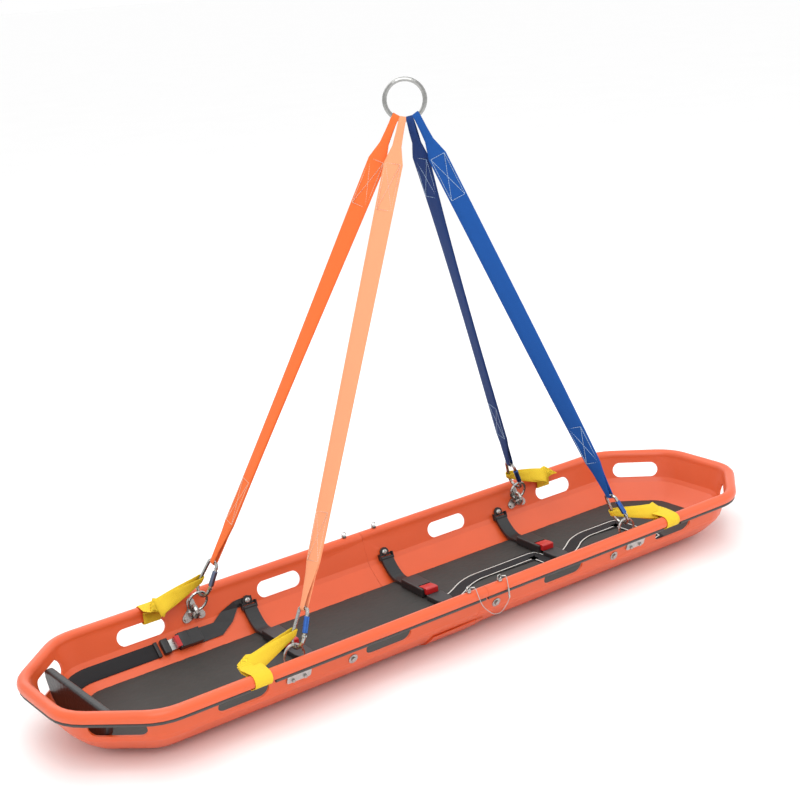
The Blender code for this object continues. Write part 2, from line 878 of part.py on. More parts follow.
def pin_lanyard(material):
    """One thin wire rope from pin eye to pin eye, over the rim and down beside the wall."""
    over = -(WIDTH / 2 + 0.0030)
    inner = -(WIDTH / 2 - 0.010)
    eye_y = -rim_middle()
    eye_z = HEIGHT + PIN_HEAD_HEIGHT + PIN_EYE_RADIUS
    near = PIN_EYE_RADIUS + PIN_EYE_WIRE + REST_GAP
    route = [(-PIN_X + near, eye_y, eye_z), (-PIN_X + 0.015, over + 0.010, HEIGHT + 0.008),
             (-0.034, over, HEIGHT - 0.010), (-0.022, over, HEIGHT - 0.040),
             (0.002, over, HEIGHT - 0.066), (0.030, inner, HEIGHT - 0.082),
             (0.050, inner, HEIGHT - 0.080), (0.064, over, HEIGHT - 0.046),
             (0.062, over, HEIGHT - 0.014), (PIN_X + 0.015, over + 0.010, HEIGHT + 0.008),
             (PIN_X + near, eye_y, eye_z)]
    points = smooth_path([Vector(point) for point in route], LANYARD_STEPS)
    tube("pin_lanyard", points, LANYARD_RADIUS, material, resolution=2)


# Mattress and footrest

def floor_height(inset):
    """Height of the inner skin at an inset, below the knee."""
    levels = section_levels()
    for outer, inner in zip(levels[1:], levels):
        if inset >= outer[0]:
            share = (inset - outer[0]) / (inner[0] - outer[0])
            return outer[1] + (inner[1] - outer[1]) * min(share, 1)
    return levels[FLOOR_ARC_STEPS][1]


def mattress_levels():
    """Inset and height of the mattress's outline from its underside to its top."""
    widest = MATTRESS_INSET
    crease = MATTRESS_TOP - MATTRESS_ROLL
    levels = []
    for inset in (widest + 0.0425, widest + 0.0065):
        levels.append((inset, floor_height(inset) + MATTRESS_SEAT))
    levels.append((widest, crease))
    levels.append((widest + 0.0020, crease + 0.6 * MATTRESS_ROLL))
    levels.append((widest + 0.0085, MATTRESS_TOP))
    levels.append((widest + 0.0300, MATTRESS_TOP + MATTRESS_CROWN))
    return levels


def mattress(material):
    bm = bmesh.new()
    rings = []
    for inset, z in mattress_levels():
        foot_x = MATTRESS_FOOT_END - (inset - MATTRESS_INSET)
        outline = quarter_outline(1, inset, 0.001) + quarter_outline(-1, inset, 0.001, foot_x)
        rings.append([bm.verts.new((p.x, p.y, z)) for p in outline])
    for ring, following in zip(rings, rings[1:]):
        for i in range(len(ring) - 1):
            bm.faces.new((ring[i], ring[i + 1], following[i + 1], following[i]))
    bm.faces.new(list(reversed(rings[0])))
    bm.faces.new(rings[-1])
    body = from_bmesh("mattress", bm, material, smooth_angle=50, closed=False)
    mirror_front(body)


def plan_half_width(x, inset):
    """Half width of the plan at a distance from the middle."""
    outline = quarter_outline(1, inset, 0.001)
    for near, far in zip(outline[1:], outline):
        if near.x <= x <= far.x:
            return near.y + (far.y - near.y) * (x - near.x) / (far.x - near.x)
    return outline[1].y


def footrest(material):
    """An upright board that follows the hull, with rounded upper corners."""
    outer_face = -FOOTREST_X + FOOTREST_THICKNESS / 2
    foot_inset = LENGTH / 2 - outer_face
    half = [(plan_half_width(outer_face, foot_inset), floor_height(foot_inset))]
    for inset, z in section_levels()[:FLOOR_ARC_STEPS + 3]:
        if inset < foot_inset and z < FOOTREST_SHOULDER:
            half.append((plan_half_width(outer_face, inset), z))
    half.append((plan_half_width(outer_face, wall_inset(FOOTREST_SHOULDER)), FOOTREST_SHOULDER))
    half = [(y - FOOTREST_FIT, z + FOOTREST_FIT) for y, z in half]
    top_y = half[-1][0]
    corner = (top_y - FOOTREST_ROUND, FOOTREST_TOP - FOOTREST_ROUND)
    half += arc_points(corner, FOOTREST_ROUND, 0, math.pi / 2, 4)
    outline = half + [(-y, z) for y, z in reversed(half)]
    across = frame((FOOTREST_X, 0, 0), (0, 1, 0), (1, 0, 0))
    reach = FOOTREST_THICKNESS / 2
    body = flat_shape("footrest_pad", outline, -reach, reach, across, material)
    bevel = body.modifiers.new("soft_edge", "BEVEL")
    bevel.width = FOOTREST_BEVEL
    bevel.segments = 3
    bevel.limit_method = "ANGLE"
    bevel.angle_limit = math.radians(60)


# Lugs, rings and carabiners

def ear_centres():
    centres = []
    for turn in (90, 210, 330):
        angle = math.radians(turn)
        centres.append((LUG_EAR_REACH * math.cos(angle), LUG_EAR_REACH * math.sin(angle)))
    return centres


def trefoil():
    """Three round ears with hollow sides between them."""
    points = []
    spread = math.radians(75)
    for (x, y), turn in zip(ear_centres(), (90, 210, 330)):
        angle = math.radians(turn)
        points += arc_points((x, y), LUG_EAR_RADIUS, angle - spread, angle + spread, 4)
        between = angle + math.radians(60)
        points.append((LUG_WAIST * math.cos(between), LUG_WAIST * math.sin(between)))
    return points


def corner_items():
    """Name, end sign and side sign of the four corners of the basket."""
    return (("foot_back", -1, 1), ("foot_front", -1, -1), ("head_back", 1, 1), ("head_front", 1, -1))


def lug_frames():
    return [wall_frame(end * LUG_X, LUG_Z, side) for _, end, side in corner_items()]


def lug_plates(material):
    top = REST_GAP + LUG_PLATE
    nut_top = -WALL - 2 * REST_GAP - BACKING_THICKNESS
    nut_low = nut_top - LUG_NUT
    body = flat_shape("lug_plate", trefoil(), REST_GAP, top, Matrix(), material)
    profile = [(0, top + LUG_HEAD_HEIGHT), (LUG_HEAD_RADIUS, top + LUG_HEAD_HEIGHT),
               (LUG_HEAD_RADIUS, top / 2),
               (LUG_BOLT_RADIUS, top / 2), (LUG_BOLT_RADIUS, nut_top), (LUG_HEAD_RADIUS, nut_top),
               (LUG_HEAD_RADIUS, nut_low), (0, nut_low)]
    solids = []
    for x, y in ear_centres():
        bolt = turned("bolt", profile, 6, None, GUIDES)
        bake(bolt)
        bolt.matrix_world = Matrix.Translation((x, y, 0))
        solids.append(bolt)
    combine(body, "UNION", merged("bolt_solids", solids))
    boss_top = top + LUG_BOSS_HEIGHT
    boss = turned("boss", [(0, boss_top), (0.6 * LUG_BOSS_RADIUS, boss_top),
                           (LUG_BOSS_RADIUS, boss_top - 0.4 * LUG_BOSS_HEIGHT), (LUG_BOSS_RADIUS, top / 2),
                           (0, top / 2)], 8, None, GUIDES)
    combine(body, "UNION", as_guide(boss))
    eye = wire_ring("eye", EYE_RADIUS, EYE_WIRE, 14, 6, None, GUIDES)
    eye.matrix_world = frame((0, 0, EYE_STAND), (0, 1, 0), (1, 0, 0))
    combine(body, "UNION", as_guide(eye))
    place_copies(body, [f"lug_plate_{name}" for name, _, _ in corner_items()], lug_frames())


def backing_plates(material):
    """The pale plate outside the wall that the lug's bolts clamp."""
    high = -WALL - REST_GAP
    low = high - BACKING_THICKNESS
    half = BACKING_LENGTH / 2
    tall = BACKING_HEIGHT / 2
    cut = BACKING_CORNER
    quarter = [(half - cut, tall), (half, tall - cut)]
    outline = [(-x, y) for x, y in quarter] + [(-x, -y) for x, y in reversed(quarter)]
    outline += [(x, -y) for x, y in quarter] + list(reversed(quarter))
    outline = [(x, y + BACKING_LIFT) for x, y in outline]
    holes = [round_hole(centre, LUG_BOLT_HOLE, 8) for centre in ear_centres()]
    body = flat_shape("backing_plate", outline, low, high, Matrix(), material, None, holes)
    place_copies(body, [f"backing_plate_{name}" for name, _, _ in corner_items()], lug_frames())


def lift_axes():
    """The lifting ring's sideways direction and up."""
    return Vector((math.cos(LIFT_TURN), math.sin(LIFT_TURN), 0)), Vector((0, 0, 1))


def chain(name, end, side):
    """The pull line of one corner, from the lug's eye to its place on the lifting ring."""
    place = {"foot_back": -1.5, "foot_front": -0.5, "head_back": 0.5, "head_front": 1.5}[name]
    sideways, up = lift_axes()
    angle = place * LEG_SPREAD
    top = LIFT_CENTRE + (sideways * math.sin(angle) - up * math.cos(angle)) * LIFT_RADIUS
    tangent = sideways * math.cos(angle) + up * math.sin(angle)
    lug = wall_frame(end * LUG_X, LUG_Z, side)
    eye = lug @ Vector((0, 0, EYE_STAND))
    first = lug.to_3x3().transposed() @ (top - eye)
    seat = lug @ (Vector((0, 0, EYE_STAND)) + Vector((0, first.y, first.z)).normalized() * EYE_RADIUS)
    pull = (top - seat).normalized()
    level = Vector((1, 0, 0))
    level = (level - pull * level.dot(pull)).normalized()
    gate_side = level.cross(pull)
    ring = seat + pull * (RING_RADIUS - RING_WIRE - EYE_WIRE - LINK_GAP)
    bow = ring + pull * (RING_RADIUS - RING_WIRE - HOOK_WIRE - LINK_GAP)
    return {"name": name, "end": end, "side": side, "top": top, "tangent": tangent, "pull": pull,
            "gate_side": gate_side, "ring": ring, "bow": bow}


def chains():
    return [chain(name, end, side) for name, end, side in corner_items()]


def lug_rings(material):
    body = wire_ring("lug_ring", RING_RADIUS, RING_WIRE, 20, 6, material)
    frames = [frame(line["ring"], line["pull"], line["gate_side"]) for line in chains()]
    place_copies(body, [f"lug_ring_{name}" for name, _, _ in corner_items()], frames)


def hook_frame(line):
    """Carabiner frame: X towards the gate side, Z along the pull, origin on the bow's low point."""
    return frame(line["bow"], line["gate_side"], line["pull"])


def hook_frames():
    return [hook_frame(line) for line in chains()]


def crown_centre():
    return Vector((CROWN_FLAT / 2, 0, CROWN_Z - CROWN_RADIUS))


def nose_points():
    """Start and end of the short straight nose, which points down at the gate."""
    start = crown_centre() + Vector((math.cos(NOSE_ANGLE), 0, math.sin(NOSE_ANGLE))) * CROWN_RADIUS
    return start, start + Vector((math.sin(NOSE_ANGLE), 0, -math.cos(NOSE_ANGLE))) * NOSE_STUB


def gate_foot():
    return Vector((BOW_RADIUS, 0, BOW_RADIUS + BOW_STUB + GATE_RISE))


def gate_frame():
    """On the gate's pivot: Z runs up the gate, Y along the pivot."""
    foot = gate_foot()
    up = (nose_points()[1] - foot).normalized()
    return frame(foot, (1, 0, 0), up)


def gate_length():
    return (nose_points()[1] - gate_foot()).length - GATE_NOSE_GAP


def carabiners(material):
    quarter = math.pi / 2
    centre = crown_centre()
    outline = [(BOW_RADIUS, BOW_RADIUS + BOW_STUB)]
    outline += arc_points((0, BOW_RADIUS), BOW_RADIUS, 0, -math.pi, 9)
    outline += arc_points((-centre.x, centre.z), CROWN_RADIUS, math.pi - NOSE_ANGLE, quarter, 3)
    outline += arc_points((centre.x, centre.z), CROWN_RADIUS, quarter, NOSE_ANGLE, 3)
    points = [Vector((x, 0, z)) for x, z in outline]
    points.append(nose_points()[1])
    body = tube("carabiner", points, HOOK_WIRE, material, resolution=2)
    half = TANG_THICKNESS / 2
    flat = frame(gate_foot(), (1, 0, 0), (0, -1, 0))
    low = -GATE_RISE - BOW_STUB - TANG_WIDTH / 4
    tang_half = TANG_WIDTH / 2
    outline = [(-tang_half, low), (tang_half, low)] + arc_points((0, 0), tang_half, 0, math.pi, 5)
    hole = round_hole((0, 0), PIVOT_RADIUS + REST_GAP, 8)
    tang = flat_shape("tang", outline, -half, half, flat, None, GUIDES, [hole])
    combine(body, "UNION", as_guide(tang))
    place_copies(body, [f"carabiner_{name}" for name, _, _ in corner_items()], hook_frames())


def carabiner_gates(material):
    """A rod with a forked foot and a pivot pin. Its origin is on the pivot."""
    bm = bmesh.new()
    add_cylinder(bm, GATE_WIRE, 0.001, gate_length(), segments=10)
    body = from_bmesh("carabiner_gate", bm, material, smooth_angle=40)
    across = frame((0, 0, 0), (1, 0, 0), (0, 1, 0))
    bm = bmesh.new()
    add_cylinder(bm, FORK_RADIUS, -FORK_RADIUS, FORK_RADIUS, across, segments=12)
    combine(body, "UNION", guide("fork", bm))
    bm = bmesh.new()
    slot = FORK_SLOT / 2
    add_box(bm, (-2 * FORK_RADIUS, -slot, -2 * FORK_RADIUS), (2 * FORK_RADIUS, slot, FORK_SLOT_TOP))
    combine(body, "DIFFERENCE", guide("fork_slot", bm))
    bm = bmesh.new()
    reach = FORK_RADIUS - 0.001
    add_cylinder(bm, PIVOT_RADIUS, -reach, reach, across, segments=8)
    combine(body, "UNION", guide("pivot", bm))
    names = [f"carabiner_gate_{name}" for name, _, _ in corner_items()]
    place_copies(body, names, [place @ gate_frame() for place in hook_frames()])


def gate_sleeves(material):
    """A sleeve on the gate, at rest near the pivot so that the gate can open."""
    edge = 0.001
    low = SLEEVE_START
    high = low + SLEEVE_LENGTH
    profile = [(SLEEVE_BORE, high), (SLEEVE_RADIUS - edge, high), (SLEEVE_RADIUS, high - edge),
               (SLEEVE_RADIUS, low + edge), (SLEEVE_RADIUS - edge, low), (SLEEVE_BORE, low),
               (SLEEVE_BORE, high)]
    body = turned("gate_sleeve", profile, 12, material)
    names = [f"gate_sleeve_{name}" for name, _, _ in corner_items()]
    place_copies(body, names, [place @ gate_frame() for place in hook_frames()])


def lifting_ring(material):
    sideways, up = lift_axes()
    body = wire_ring("lifting_ring", LIFT_RADIUS, LIFT_WIRE, 32, 8, material)
    body.matrix_world = frame(LIFT_CENTRE, up, sideways.cross(up))


# Webbing of the sling

def wrap(centre, across, ahead, radius, width, steps=6):
    """Half a turn of band round a wire, over its far side, from one flank to the other."""
    ahead = (ahead - across * ahead.dot(across)).normalized()
    flank = across.cross(ahead)
    stations = []
    for i in range(steps + 1):
        angle = math.pi * i / steps
        point = centre + flank * radius * math.cos(angle) + ahead * radius * math.sin(angle)
        stations.append((point, across, width))
    return stations


def leg_plan(length, low_turn, high_turn):
    """Distance from the lower wire, half the spread of the two plies, and width."""
    ply = (LEG_THICKNESS + LEG_PLY_GAP) / 2
    plan = [(LEG_EYE_LENGTH * 0.3, low_turn * 0.8, LEG_EYE_WIDTH),
            (LEG_EYE_LENGTH * 0.7, ply * 1.3, LEG_WIDTH * 0.75), (LEG_EYE_LENGTH, ply, LEG_WIDTH)]
    steps = 4
    for i in range(1, steps):
        place = LEG_EYE_LENGTH + (length - 2 * LEG_EYE_LENGTH) * i / steps
        plan.append((place, ply, LEG_WIDTH))
    plan.append((length - LEG_EYE_LENGTH, ply, LEG_WIDTH))
    plan.append((length - LEG_EYE_LENGTH * 0.6, ply * 1.3, LEG_EYE_WIDTH))
    plan.append((length - LEG_EYE_LENGTH * 0.3, high_turn * 0.8, LEG_CROWN_WIDTH))
    return plan


def sling_leg(line, material):
    """A two-ply leg: one closed band round the carabiner's crown and the lifting ring."""
    low = line["bow"] + line["pull"] * CROWN_Z
    high = line["top"]
    pull = line["pull"]
    length = (high - low).length
    low_turn = HOOK_WIRE + REST_GAP + LEG_THICKNESS / 2
    high_turn = LIFT_WIRE + LIFT_CLEARANCE + LEG_THICKNESS / 2
    plan = leg_plan(length, low_turn, high_turn)
    stations = []
    for flank in (1, -1):
        for place, spread, width in plan if flank > 0 else reversed(plan):
            across = line["gate_side"].lerp(line["tangent"], place / length)
            across = (across - pull * across.dot(pull)).normalized()
            stations.append((low + pull * place + across.cross(pull) * spread * flank, across, width))
        if flank > 0:
            stations += wrap(high, line["tangent"], pull, high_turn, LEG_CROWN_WIDTH)
        else:
            stations += wrap(low, line["gate_side"], -pull, low_turn, LEG_CROWN_WIDTH)
    bm = bmesh.new()
    add_ribbon(bm, stations, LEG_THICKNESS, closed=True)
    from_bmesh(f"sling_leg_{line['name']}", bm, material, smooth_angle=35)


def between(start, finish, steps):
    """Stations strictly between two others."""
    result = []
    for i in range(1, steps):
        share = i / steps
        point = start[0].lerp(finish[0], share)
        across = start[1].lerp(finish[1], share).normalized()
        width = start[2] + (finish[2] - start[2]) * share
        result.append((point, across, width))
    return result


def loop_rim_stations(x, side):
    """Over the rim from inside to outside, in through the hand hole and up inside the wall."""
    level = Vector((side, 0, 0))
    rim = Vector((x, side * rim_middle(), HEIGHT - RIM_RADIUS))
    around = RIM_RADIUS + LOOP_CLEARANCE + LOOP_THICKNESS / 2
    points = []
    for i in range(LOOP_RIM_STEPS + 1):
        angle = LOOP_LEAVE + (LOOP_ENTER - LOOP_LEAVE) * i / LOOP_RIM_STEPS
        points.append(rim + Vector((0, side * math.cos(angle), math.sin(angle))) * around)
    hole_top = HOLE_Z + HOLE_HEIGHT / 2 * math.cos(wall_slope())
    top_y = WIDTH / 2 - wall_inset(hole_top)
    under = hole_top - LOOP_CLEARANCE - LOOP_THICKNESS
    near = LOOP_CLEARANCE + LOOP_THICKNESS
    points.append(Vector((x, side * (top_y + 0.013), under - 0.001)))
    points.append(Vector((x, side * (top_y + 0.003), under - 0.004)))
    points.append(Vector((x, side * (top_y - near - 0.0015), under - 0.002)))
    points.append(Vector((x, side * (top_y - near - 0.0010), hole_top + 0.004)))
    points.append(Vector((x, side * (top_y - near + 0.0005), hole_top + 0.018)))
    points.append(Vector((x, side * (top_y - near - 0.0010), hole_top + 0.025)))
    return [(point, level, LOOP_WIDTH) for point in points]


def edge_loop(line, material):
    """A closed band from the carabiner's spine to the rim, folded square above the hand hole."""
    side = line["side"]
    hook = hook_frame(line)
    spine = Vector((math.sin(NOSE_ANGLE), 0, math.cos(NOSE_ANGLE)))
    wire = hook @ (Vector((-BOW_RADIUS, 0, BOW_RADIUS)) + spine * LOOP_SPINE_PLACE)
    across_hook = hook.to_3x3() @ spine
    stations = loop_rim_stations(line["end"] * LOOP_X, side)
    up = Vector((0, 0, 1))
    fold = Vector((line["end"] * LOOP_X, side * LOOP_FOLD_Y, LOOP_FOLD_Z))
    toward = (wire - fold).normalized()
    level = stations[0][1]
    across_near = toward.cross(-up)
    if across_hook.dot(across_near) < 0:
        across_hook = -across_hook
    turn_radius = HOOK_WIRE + LOOP_HOOK_CLEARANCE + LOOP_THICKNESS / 2
    loop = wrap(wire, across_hook, toward, turn_radius, LOOP_HOOK_WIDTH)
    strands = []
    for height in (-LOOP_SPREAD, LOOP_SPREAD):
        corner = (fold + up * height, level, LOOP_WIDTH * math.sqrt(2))
        near = (fold + toward * LOOP_FOLD_RUN + up * height, across_near, LOOP_WIDTH * 0.9)
        strands.append((corner, near))
    lower, upper = strands
    stations += lower + tuple(between(lower[1], loop[0], 3))
    stations += loop
    stations += between(loop[-1], upper[1], 3) + [upper[1], upper[0]]
    bm = bmesh.new()
    add_ribbon(bm, stations, LOOP_THICKNESS, closed=True)
    from_bmesh(f"edge_loop_{line['name']}", bm, material, smooth_angle=40)


# Belts across the basket

def station(x):
    """Upright frame of a belt's place, turned a little about its stud."""
    stud_y = WIDTH / 2 - wall_inset(STUD_Z)
    return (Matrix.Translation((x, stud_y, 0)) @ Matrix.Rotation(BELT_YAW, 4, "Z")
            @ Matrix.Translation((0, -stud_y, 0)))


def station_wall(x):
    """The tab's wall frame, with the same small turn."""
    return station(x) @ Matrix.Translation((-x, 0, 0)) @ wall_frame(x, STUD_Z, 1)


def bar_place():
    """The tab's bar in the station's YZ plane."""
    bar = wall_frame(0, STUD_Z, 1) @ Vector((0, -BAR_DROP, BAR_STAND))
    return Vector((0, bar.y, bar.z))


def belt_tabs(material):
    """A bent plate hooked on the stud, whose two ears hold a bar."""
    low = TAB_COLLAR + REST_GAP
    high = low + TAB_THICKNESS
    half = TAB_WIDTH / 2
    reach = half + TAB_EAR
    shoulder = -TAB_EAR_TOP
    outline = arc_points((0, 0), TAB_ROUND, math.radians(-20), math.radians(200), 8)
    outline += [(-reach, shoulder), (-reach, -TAB_EAR_LOW), (-half, -TAB_EAR_LOW), (-half, -TAB_PLATE_LOW),
                (half, -TAB_PLATE_LOW), (half, -TAB_EAR_LOW), (reach, -TAB_EAR_LOW), (reach, shoulder)]
    hole = round_hole((0, 0), STUD_SHANK_RADIUS + REST_GAP, 12)
    body = flat_shape("belt_tab", outline, low, high, Matrix(), material, None, [hole])
    bm = bmesh.new()
    for side in (-1, 1):
        near = side * half
        far = side * reach
        add_box(bm, (min(near, far), -TAB_EAR_LOW, low), (max(near, far), shoulder, TAB_EAR_STAND))
    combine(body, "UNION", guide("tab_ears", bm))
    bm = bmesh.new()
    place = frame((0, -BAR_DROP, BAR_STAND), (0, 1, 0), (1, 0, 0))
    add_cylinder(bm, BAR_RADIUS, -reach + 0.001, reach - 0.001, place, segments=8)
    combine(body, "UNION", guide("tab_bar", bm))
    place_copies(body, [f"belt_tab_{i + 1}" for i in range(3)], [station_wall(x) for x in BELT_X])


def stalk_points():
    """Centre line of the stalk, from near the bar to inside the housing."""
    bar = bar_place()
    route = [(bar.y - 0.0026, bar.z - 0.0030), (0.206, 0.0665), (0.185, 0.0500), (0.164, 0.0400),
             (0.142, stalk_rest()), (BUCKLE_BACK - 0.004, stalk_rest())]
    return smooth_path([Vector((0, y, z)) for y, z in route], 2)


def stalk_rest():
    return MATTRESS_TOP + MATTRESS_CROWN + REST_GAP + STALK_THICKNESS / 2


def bench():
    """Height of what lies on the mattress."""
    return MATTRESS_TOP + MATTRESS_CROWN + REST_GAP


def buckle_stalks(material):
    """A stiff stalk that swings on the tab's bar, with the buckle's housing on its end."""
    bar = bar_place()
    across = frame(bar, (0, 1, 0), (1, 0, 0))
    floor = bench()
    bm = bmesh.new()
    add_box(bm, (-BUCKLE_WIDTH / 2, BUCKLE_FRONT, floor), (BUCKLE_WIDTH / 2, BUCKLE_BACK, floor + BUCKLE_HEIGHT))
    body = from_bmesh("buckle_stalk", bm, material, smooth_angle=35)
    bevel = body.modifiers.new("rounding", "BEVEL")
    bevel.width = BUCKLE_BEVEL
    bevel.segments = 2
    bm = bmesh.new()
    level = Vector((1, 0, 0))
    add_ribbon(bm, [(point, level, STALK_WIDTH) for point in stalk_points()], STALK_THICKNESS)
    combine(body, "UNION", guide("stalk", bm))
    bm = bmesh.new()
    half = STALK_WIDTH / 2
    add_cylinder(bm, BARREL_RADIUS, -half, half, across, segments=12)
    combine(body, "UNION", guide("barrel", bm))
    bm = bmesh.new()
    add_cylinder(bm, BAR_RADIUS + FIT, -STALK_WIDTH, STALK_WIDTH, across, segments=10)
    combine(body, "DIFFERENCE", guide("barrel_bore", bm))
    pocket = BUTTON_WIDTH / 2 + FIT
    open_end = BUCKLE_FRONT - 0.010
    base = floor + BUCKLE_HEIGHT + BUTTON_PROUD - BUTTON_HEIGHT
    bm = bmesh.new()
    add_box(bm, (-pocket, open_end, base - FIT), (pocket, BUTTON_BACK + BUTTON_TRAVEL + FIT, base + 0.040))
    combine(body, "DIFFERENCE", guide("button_pocket", bm))
    slot = BLADE_WIDTH / 2 + FIT
    blade = floor + BLADE_LIFT
    bm = bmesh.new()
    add_box(bm, (-slot, open_end, blade - FIT), (slot, BLADE_REACH + 0.004, blade + BLADE_THICKNESS + FIT))
    combine(body, "DIFFERENCE", guide("blade_slot", bm))
    place_copies(body, [f"buckle_stalk_{i + 1}" for i in range(3)], [station(x) for x in BELT_X])


def release_buttons(material):
    """The press bar in the buckle's end, with a raised grip edge."""
    top = bench() + BUCKLE_HEIGHT + BUTTON_PROUD
    half = BUTTON_WIDTH / 2
    outline = [(BUTTON_BACK, top - BUTTON_HEIGHT), (BUTTON_BACK, top - BUTTON_PROUD),
               (BUCKLE_FRONT + 0.004, top), (BUTTON_FRONT + 0.002, top), (BUTTON_FRONT, top - 0.002),
               (BUTTON_FRONT, top - BUTTON_HEIGHT)]
    across = frame((0, 0, 0), (0, 1, 0), (1, 0, 0))
    body = flat_shape("release_button", outline, -half, half, across, material)
    place_copies(body, [f"release_button_{i + 1}" for i in range(3)], [station(x) for x in BELT_X])


def belt_tongues(material):
    """Tongue housing with its blade, and a slot in one side for the strap."""
    floor = bench()
    wide = TONGUE_WIDTH / 2
    narrow = wide - 0.005
    outline = [(wide, TONGUE_FRONT), (wide, TONGUE_END + 0.018), (narrow, TONGUE_END), (-narrow, TONGUE_END),
               (-wide, TONGUE_END + 0.018), (-wide, TONGUE_FRONT)]
    body = flat_shape("belt_tongue", list(reversed(outline)), floor, floor + TONGUE_HEIGHT, Matrix(), material)
    bevel = body.modifiers.new("rounding", "BEVEL")
    bevel.width = 0.0025
    bevel.segments = 2
    bm = bmesh.new()
    blade = floor + BLADE_LIFT
    add_box(bm, (-BLADE_WIDTH / 2, TONGUE_FRONT - 0.010, blade), (BLADE_WIDTH / 2, BLADE_REACH, blade + BLADE_THICKNESS))
    combine(body, "UNION", guide("blade", bm))
    bm = bmesh.new()
    slot = STRAP_WIDTH / 2 + 0.001
    low = floor + STRAP_LIFT - 0.0005
    add_box(bm, (STRAP_START - 0.001, STRAP_EXIT_Y - slot, low),
            (TONGUE_WIDTH, STRAP_EXIT_Y + slot, low + STRAP_THICKNESS + 0.001))
    combine(body, "DIFFERENCE", guide("strap_slot", bm))
    place_copies(body, [f"belt_tongue_{i + 1}" for i in range(3)], [station(x) for x in BELT_X])


def lay(stations, width):
    """Band stations from points and the direction each one faces."""
    result = []
    last = len(stations) - 1
    for i, (point, facing) in enumerate(stations):
        along = stations[min(i + 1, last)][0] - stations[max(i - 1, 0)][0]
        across = along.cross(facing).normalized()
        result.append((point, across, width))
    return result


def soften(route, steps):
    """A smooth route through (point, facing) pairs."""
    points = smooth_path([point for point, _ in route], steps)
    facings = smooth_path([facing for _, facing in route], steps)
    return list(zip(points, facings))


def mitred(route, width, corners):
    """Band stations along flat runs that meet in square folds at the given indices."""
    stations = lay(route, width)
    for index in corners:
        point, across, _ = stations[index]
        stations[index] = (point, across, width * math.sqrt(2))
    return stations


def hull_point(level, height):
    """Inset and height of a point above a corner of the inner skin's section, and the way it faces."""
    levels = section_levels()
    here = Vector(levels[level])
    before = (here - Vector(levels[level - 1])).normalized()
    after = (Vector(levels[level + 1]) - here).normalized()
    facing = Vector((before.y + after.y, -before.x - after.x)).normalized()
    reach = height / facing.dot(Vector((after.y, -after.x)))
    return here + facing * reach, facing


def front_hull_route(x):
    """Up the front slope and wall to past the strap's stud."""
    height = REST_GAP + STRAP_THICKNESS / 2
    route = []
    for level in range(FLOOR_ARC_STEPS, FLOOR_ARC_STEPS + 3):
        point, facing = hull_point(level, height)
        route.append((Vector((x, point.x - WIDTH / 2, point.y)), Vector((0, facing.x, facing.y))))
    place = wall_frame(x, STUD_Z, -1)
    inward = place.to_3x3() @ Vector((0, 0, 1))
    route.append((place @ Vector((0, 0, height)), inward))
    route.append((place @ Vector((0, STRAP_TAIL, height)), inward))
    return route


def strap_start(x):
    """The strap's first points, inside the tongue's slot and just out of it."""
    height = bench() + STRAP_LIFT + STRAP_THICKNESS / 2
    place = station(x)
    side = TONGUE_WIDTH / 2
    points = [(STRAP_START, height), (side + 0.002, height), (side + 0.016, height - 0.0030)]
    return [(place @ Vector((px, STRAP_EXIT_Y, z)), Vector((0, 0, 1))) for px, z in points]


def punch_stud_hole(body, x):
    bm = bmesh.new()
    add_cylinder(bm, STUD_COLLAR_RADIUS + FIT, -WALL, WALL, wall_frame(x, STUD_Z, -1), segments=16)
    combine(body, "DIFFERENCE", guide("stud_hole", bm))


def belt_strap(name, x, out_route, fold_x, out_y, back_y, back_route, material):
    """From the tongue out along the mattress, folded twice, and back to the front wall's stud."""
    up = Vector((0, 0, 1))
    height = bench() + STRAP_THICKNESS / 2

    def flat(px, py):
        return Vector((px, py, height)), up

    out = soften(strap_start(x) + [flat(px, py) for px, py in out_route], 2)
    half = (out_y + back_y) / 2
    fold = [flat(fold_x, out_y), flat(fold_x, half), flat(fold_x, back_y)]
    edge = flat(x, MATTRESS_INSET + STRAP_LEDGE - WIDTH / 2)
    back = soften([flat(px, py) for px, py in back_route] + [edge], 2) + front_hull_route(x)
    first = len(out)
    stations = mitred(out + fold + back, STRAP_WIDTH, (first, first + 2))
    bm = bmesh.new()
    add_ribbon(bm, stations, STRAP_THICKNESS)
    body = from_bmesh(name, bm, material, smooth_angle=35)
    punch_stud_hole(body, x)


def belt_straps(material):
    x = BELT_X[1]
    belt_strap("belt_strap_2", x, [(x + 0.060, -0.014), (x + 0.100, 0.008), (x + 0.145, 0.021), (x + 0.190, 0.022)],
               0.385, 0.022, -0.066,
               [(0.300, -0.066), (0.210, -0.066), (0.150, -0.072), (0.100, -0.094), (0.069, -0.128)], material)
    x = BELT_X[2]
    belt_strap("belt_strap_3", x, [(x + 0.060, -0.012), (x + 0.100, 0.014), (x + 0.145, 0.029), (x + 0.185, 0.030)],
               0.740, 0.030, -0.118,
               [(0.640, -0.118), (0.560, -0.116), (0.513, -0.124), (0.480, -0.142)], material)


# Foot belt along the back slope

def slope_frame(x):
    """On the back slope's middle: local X along the basket, Y up the slope, Z into the basket."""
    foot = section_levels()[FLOOR_ARC_STEPS]
    middle = ((foot[0] + KNEE_LOW[0]) / 2, (foot[1] + KNEE_LOW[1]) / 2)
    return frame((x, WIDTH / 2 - middle[0], middle[1]), (1, 0, 0), (0, -1, 1))


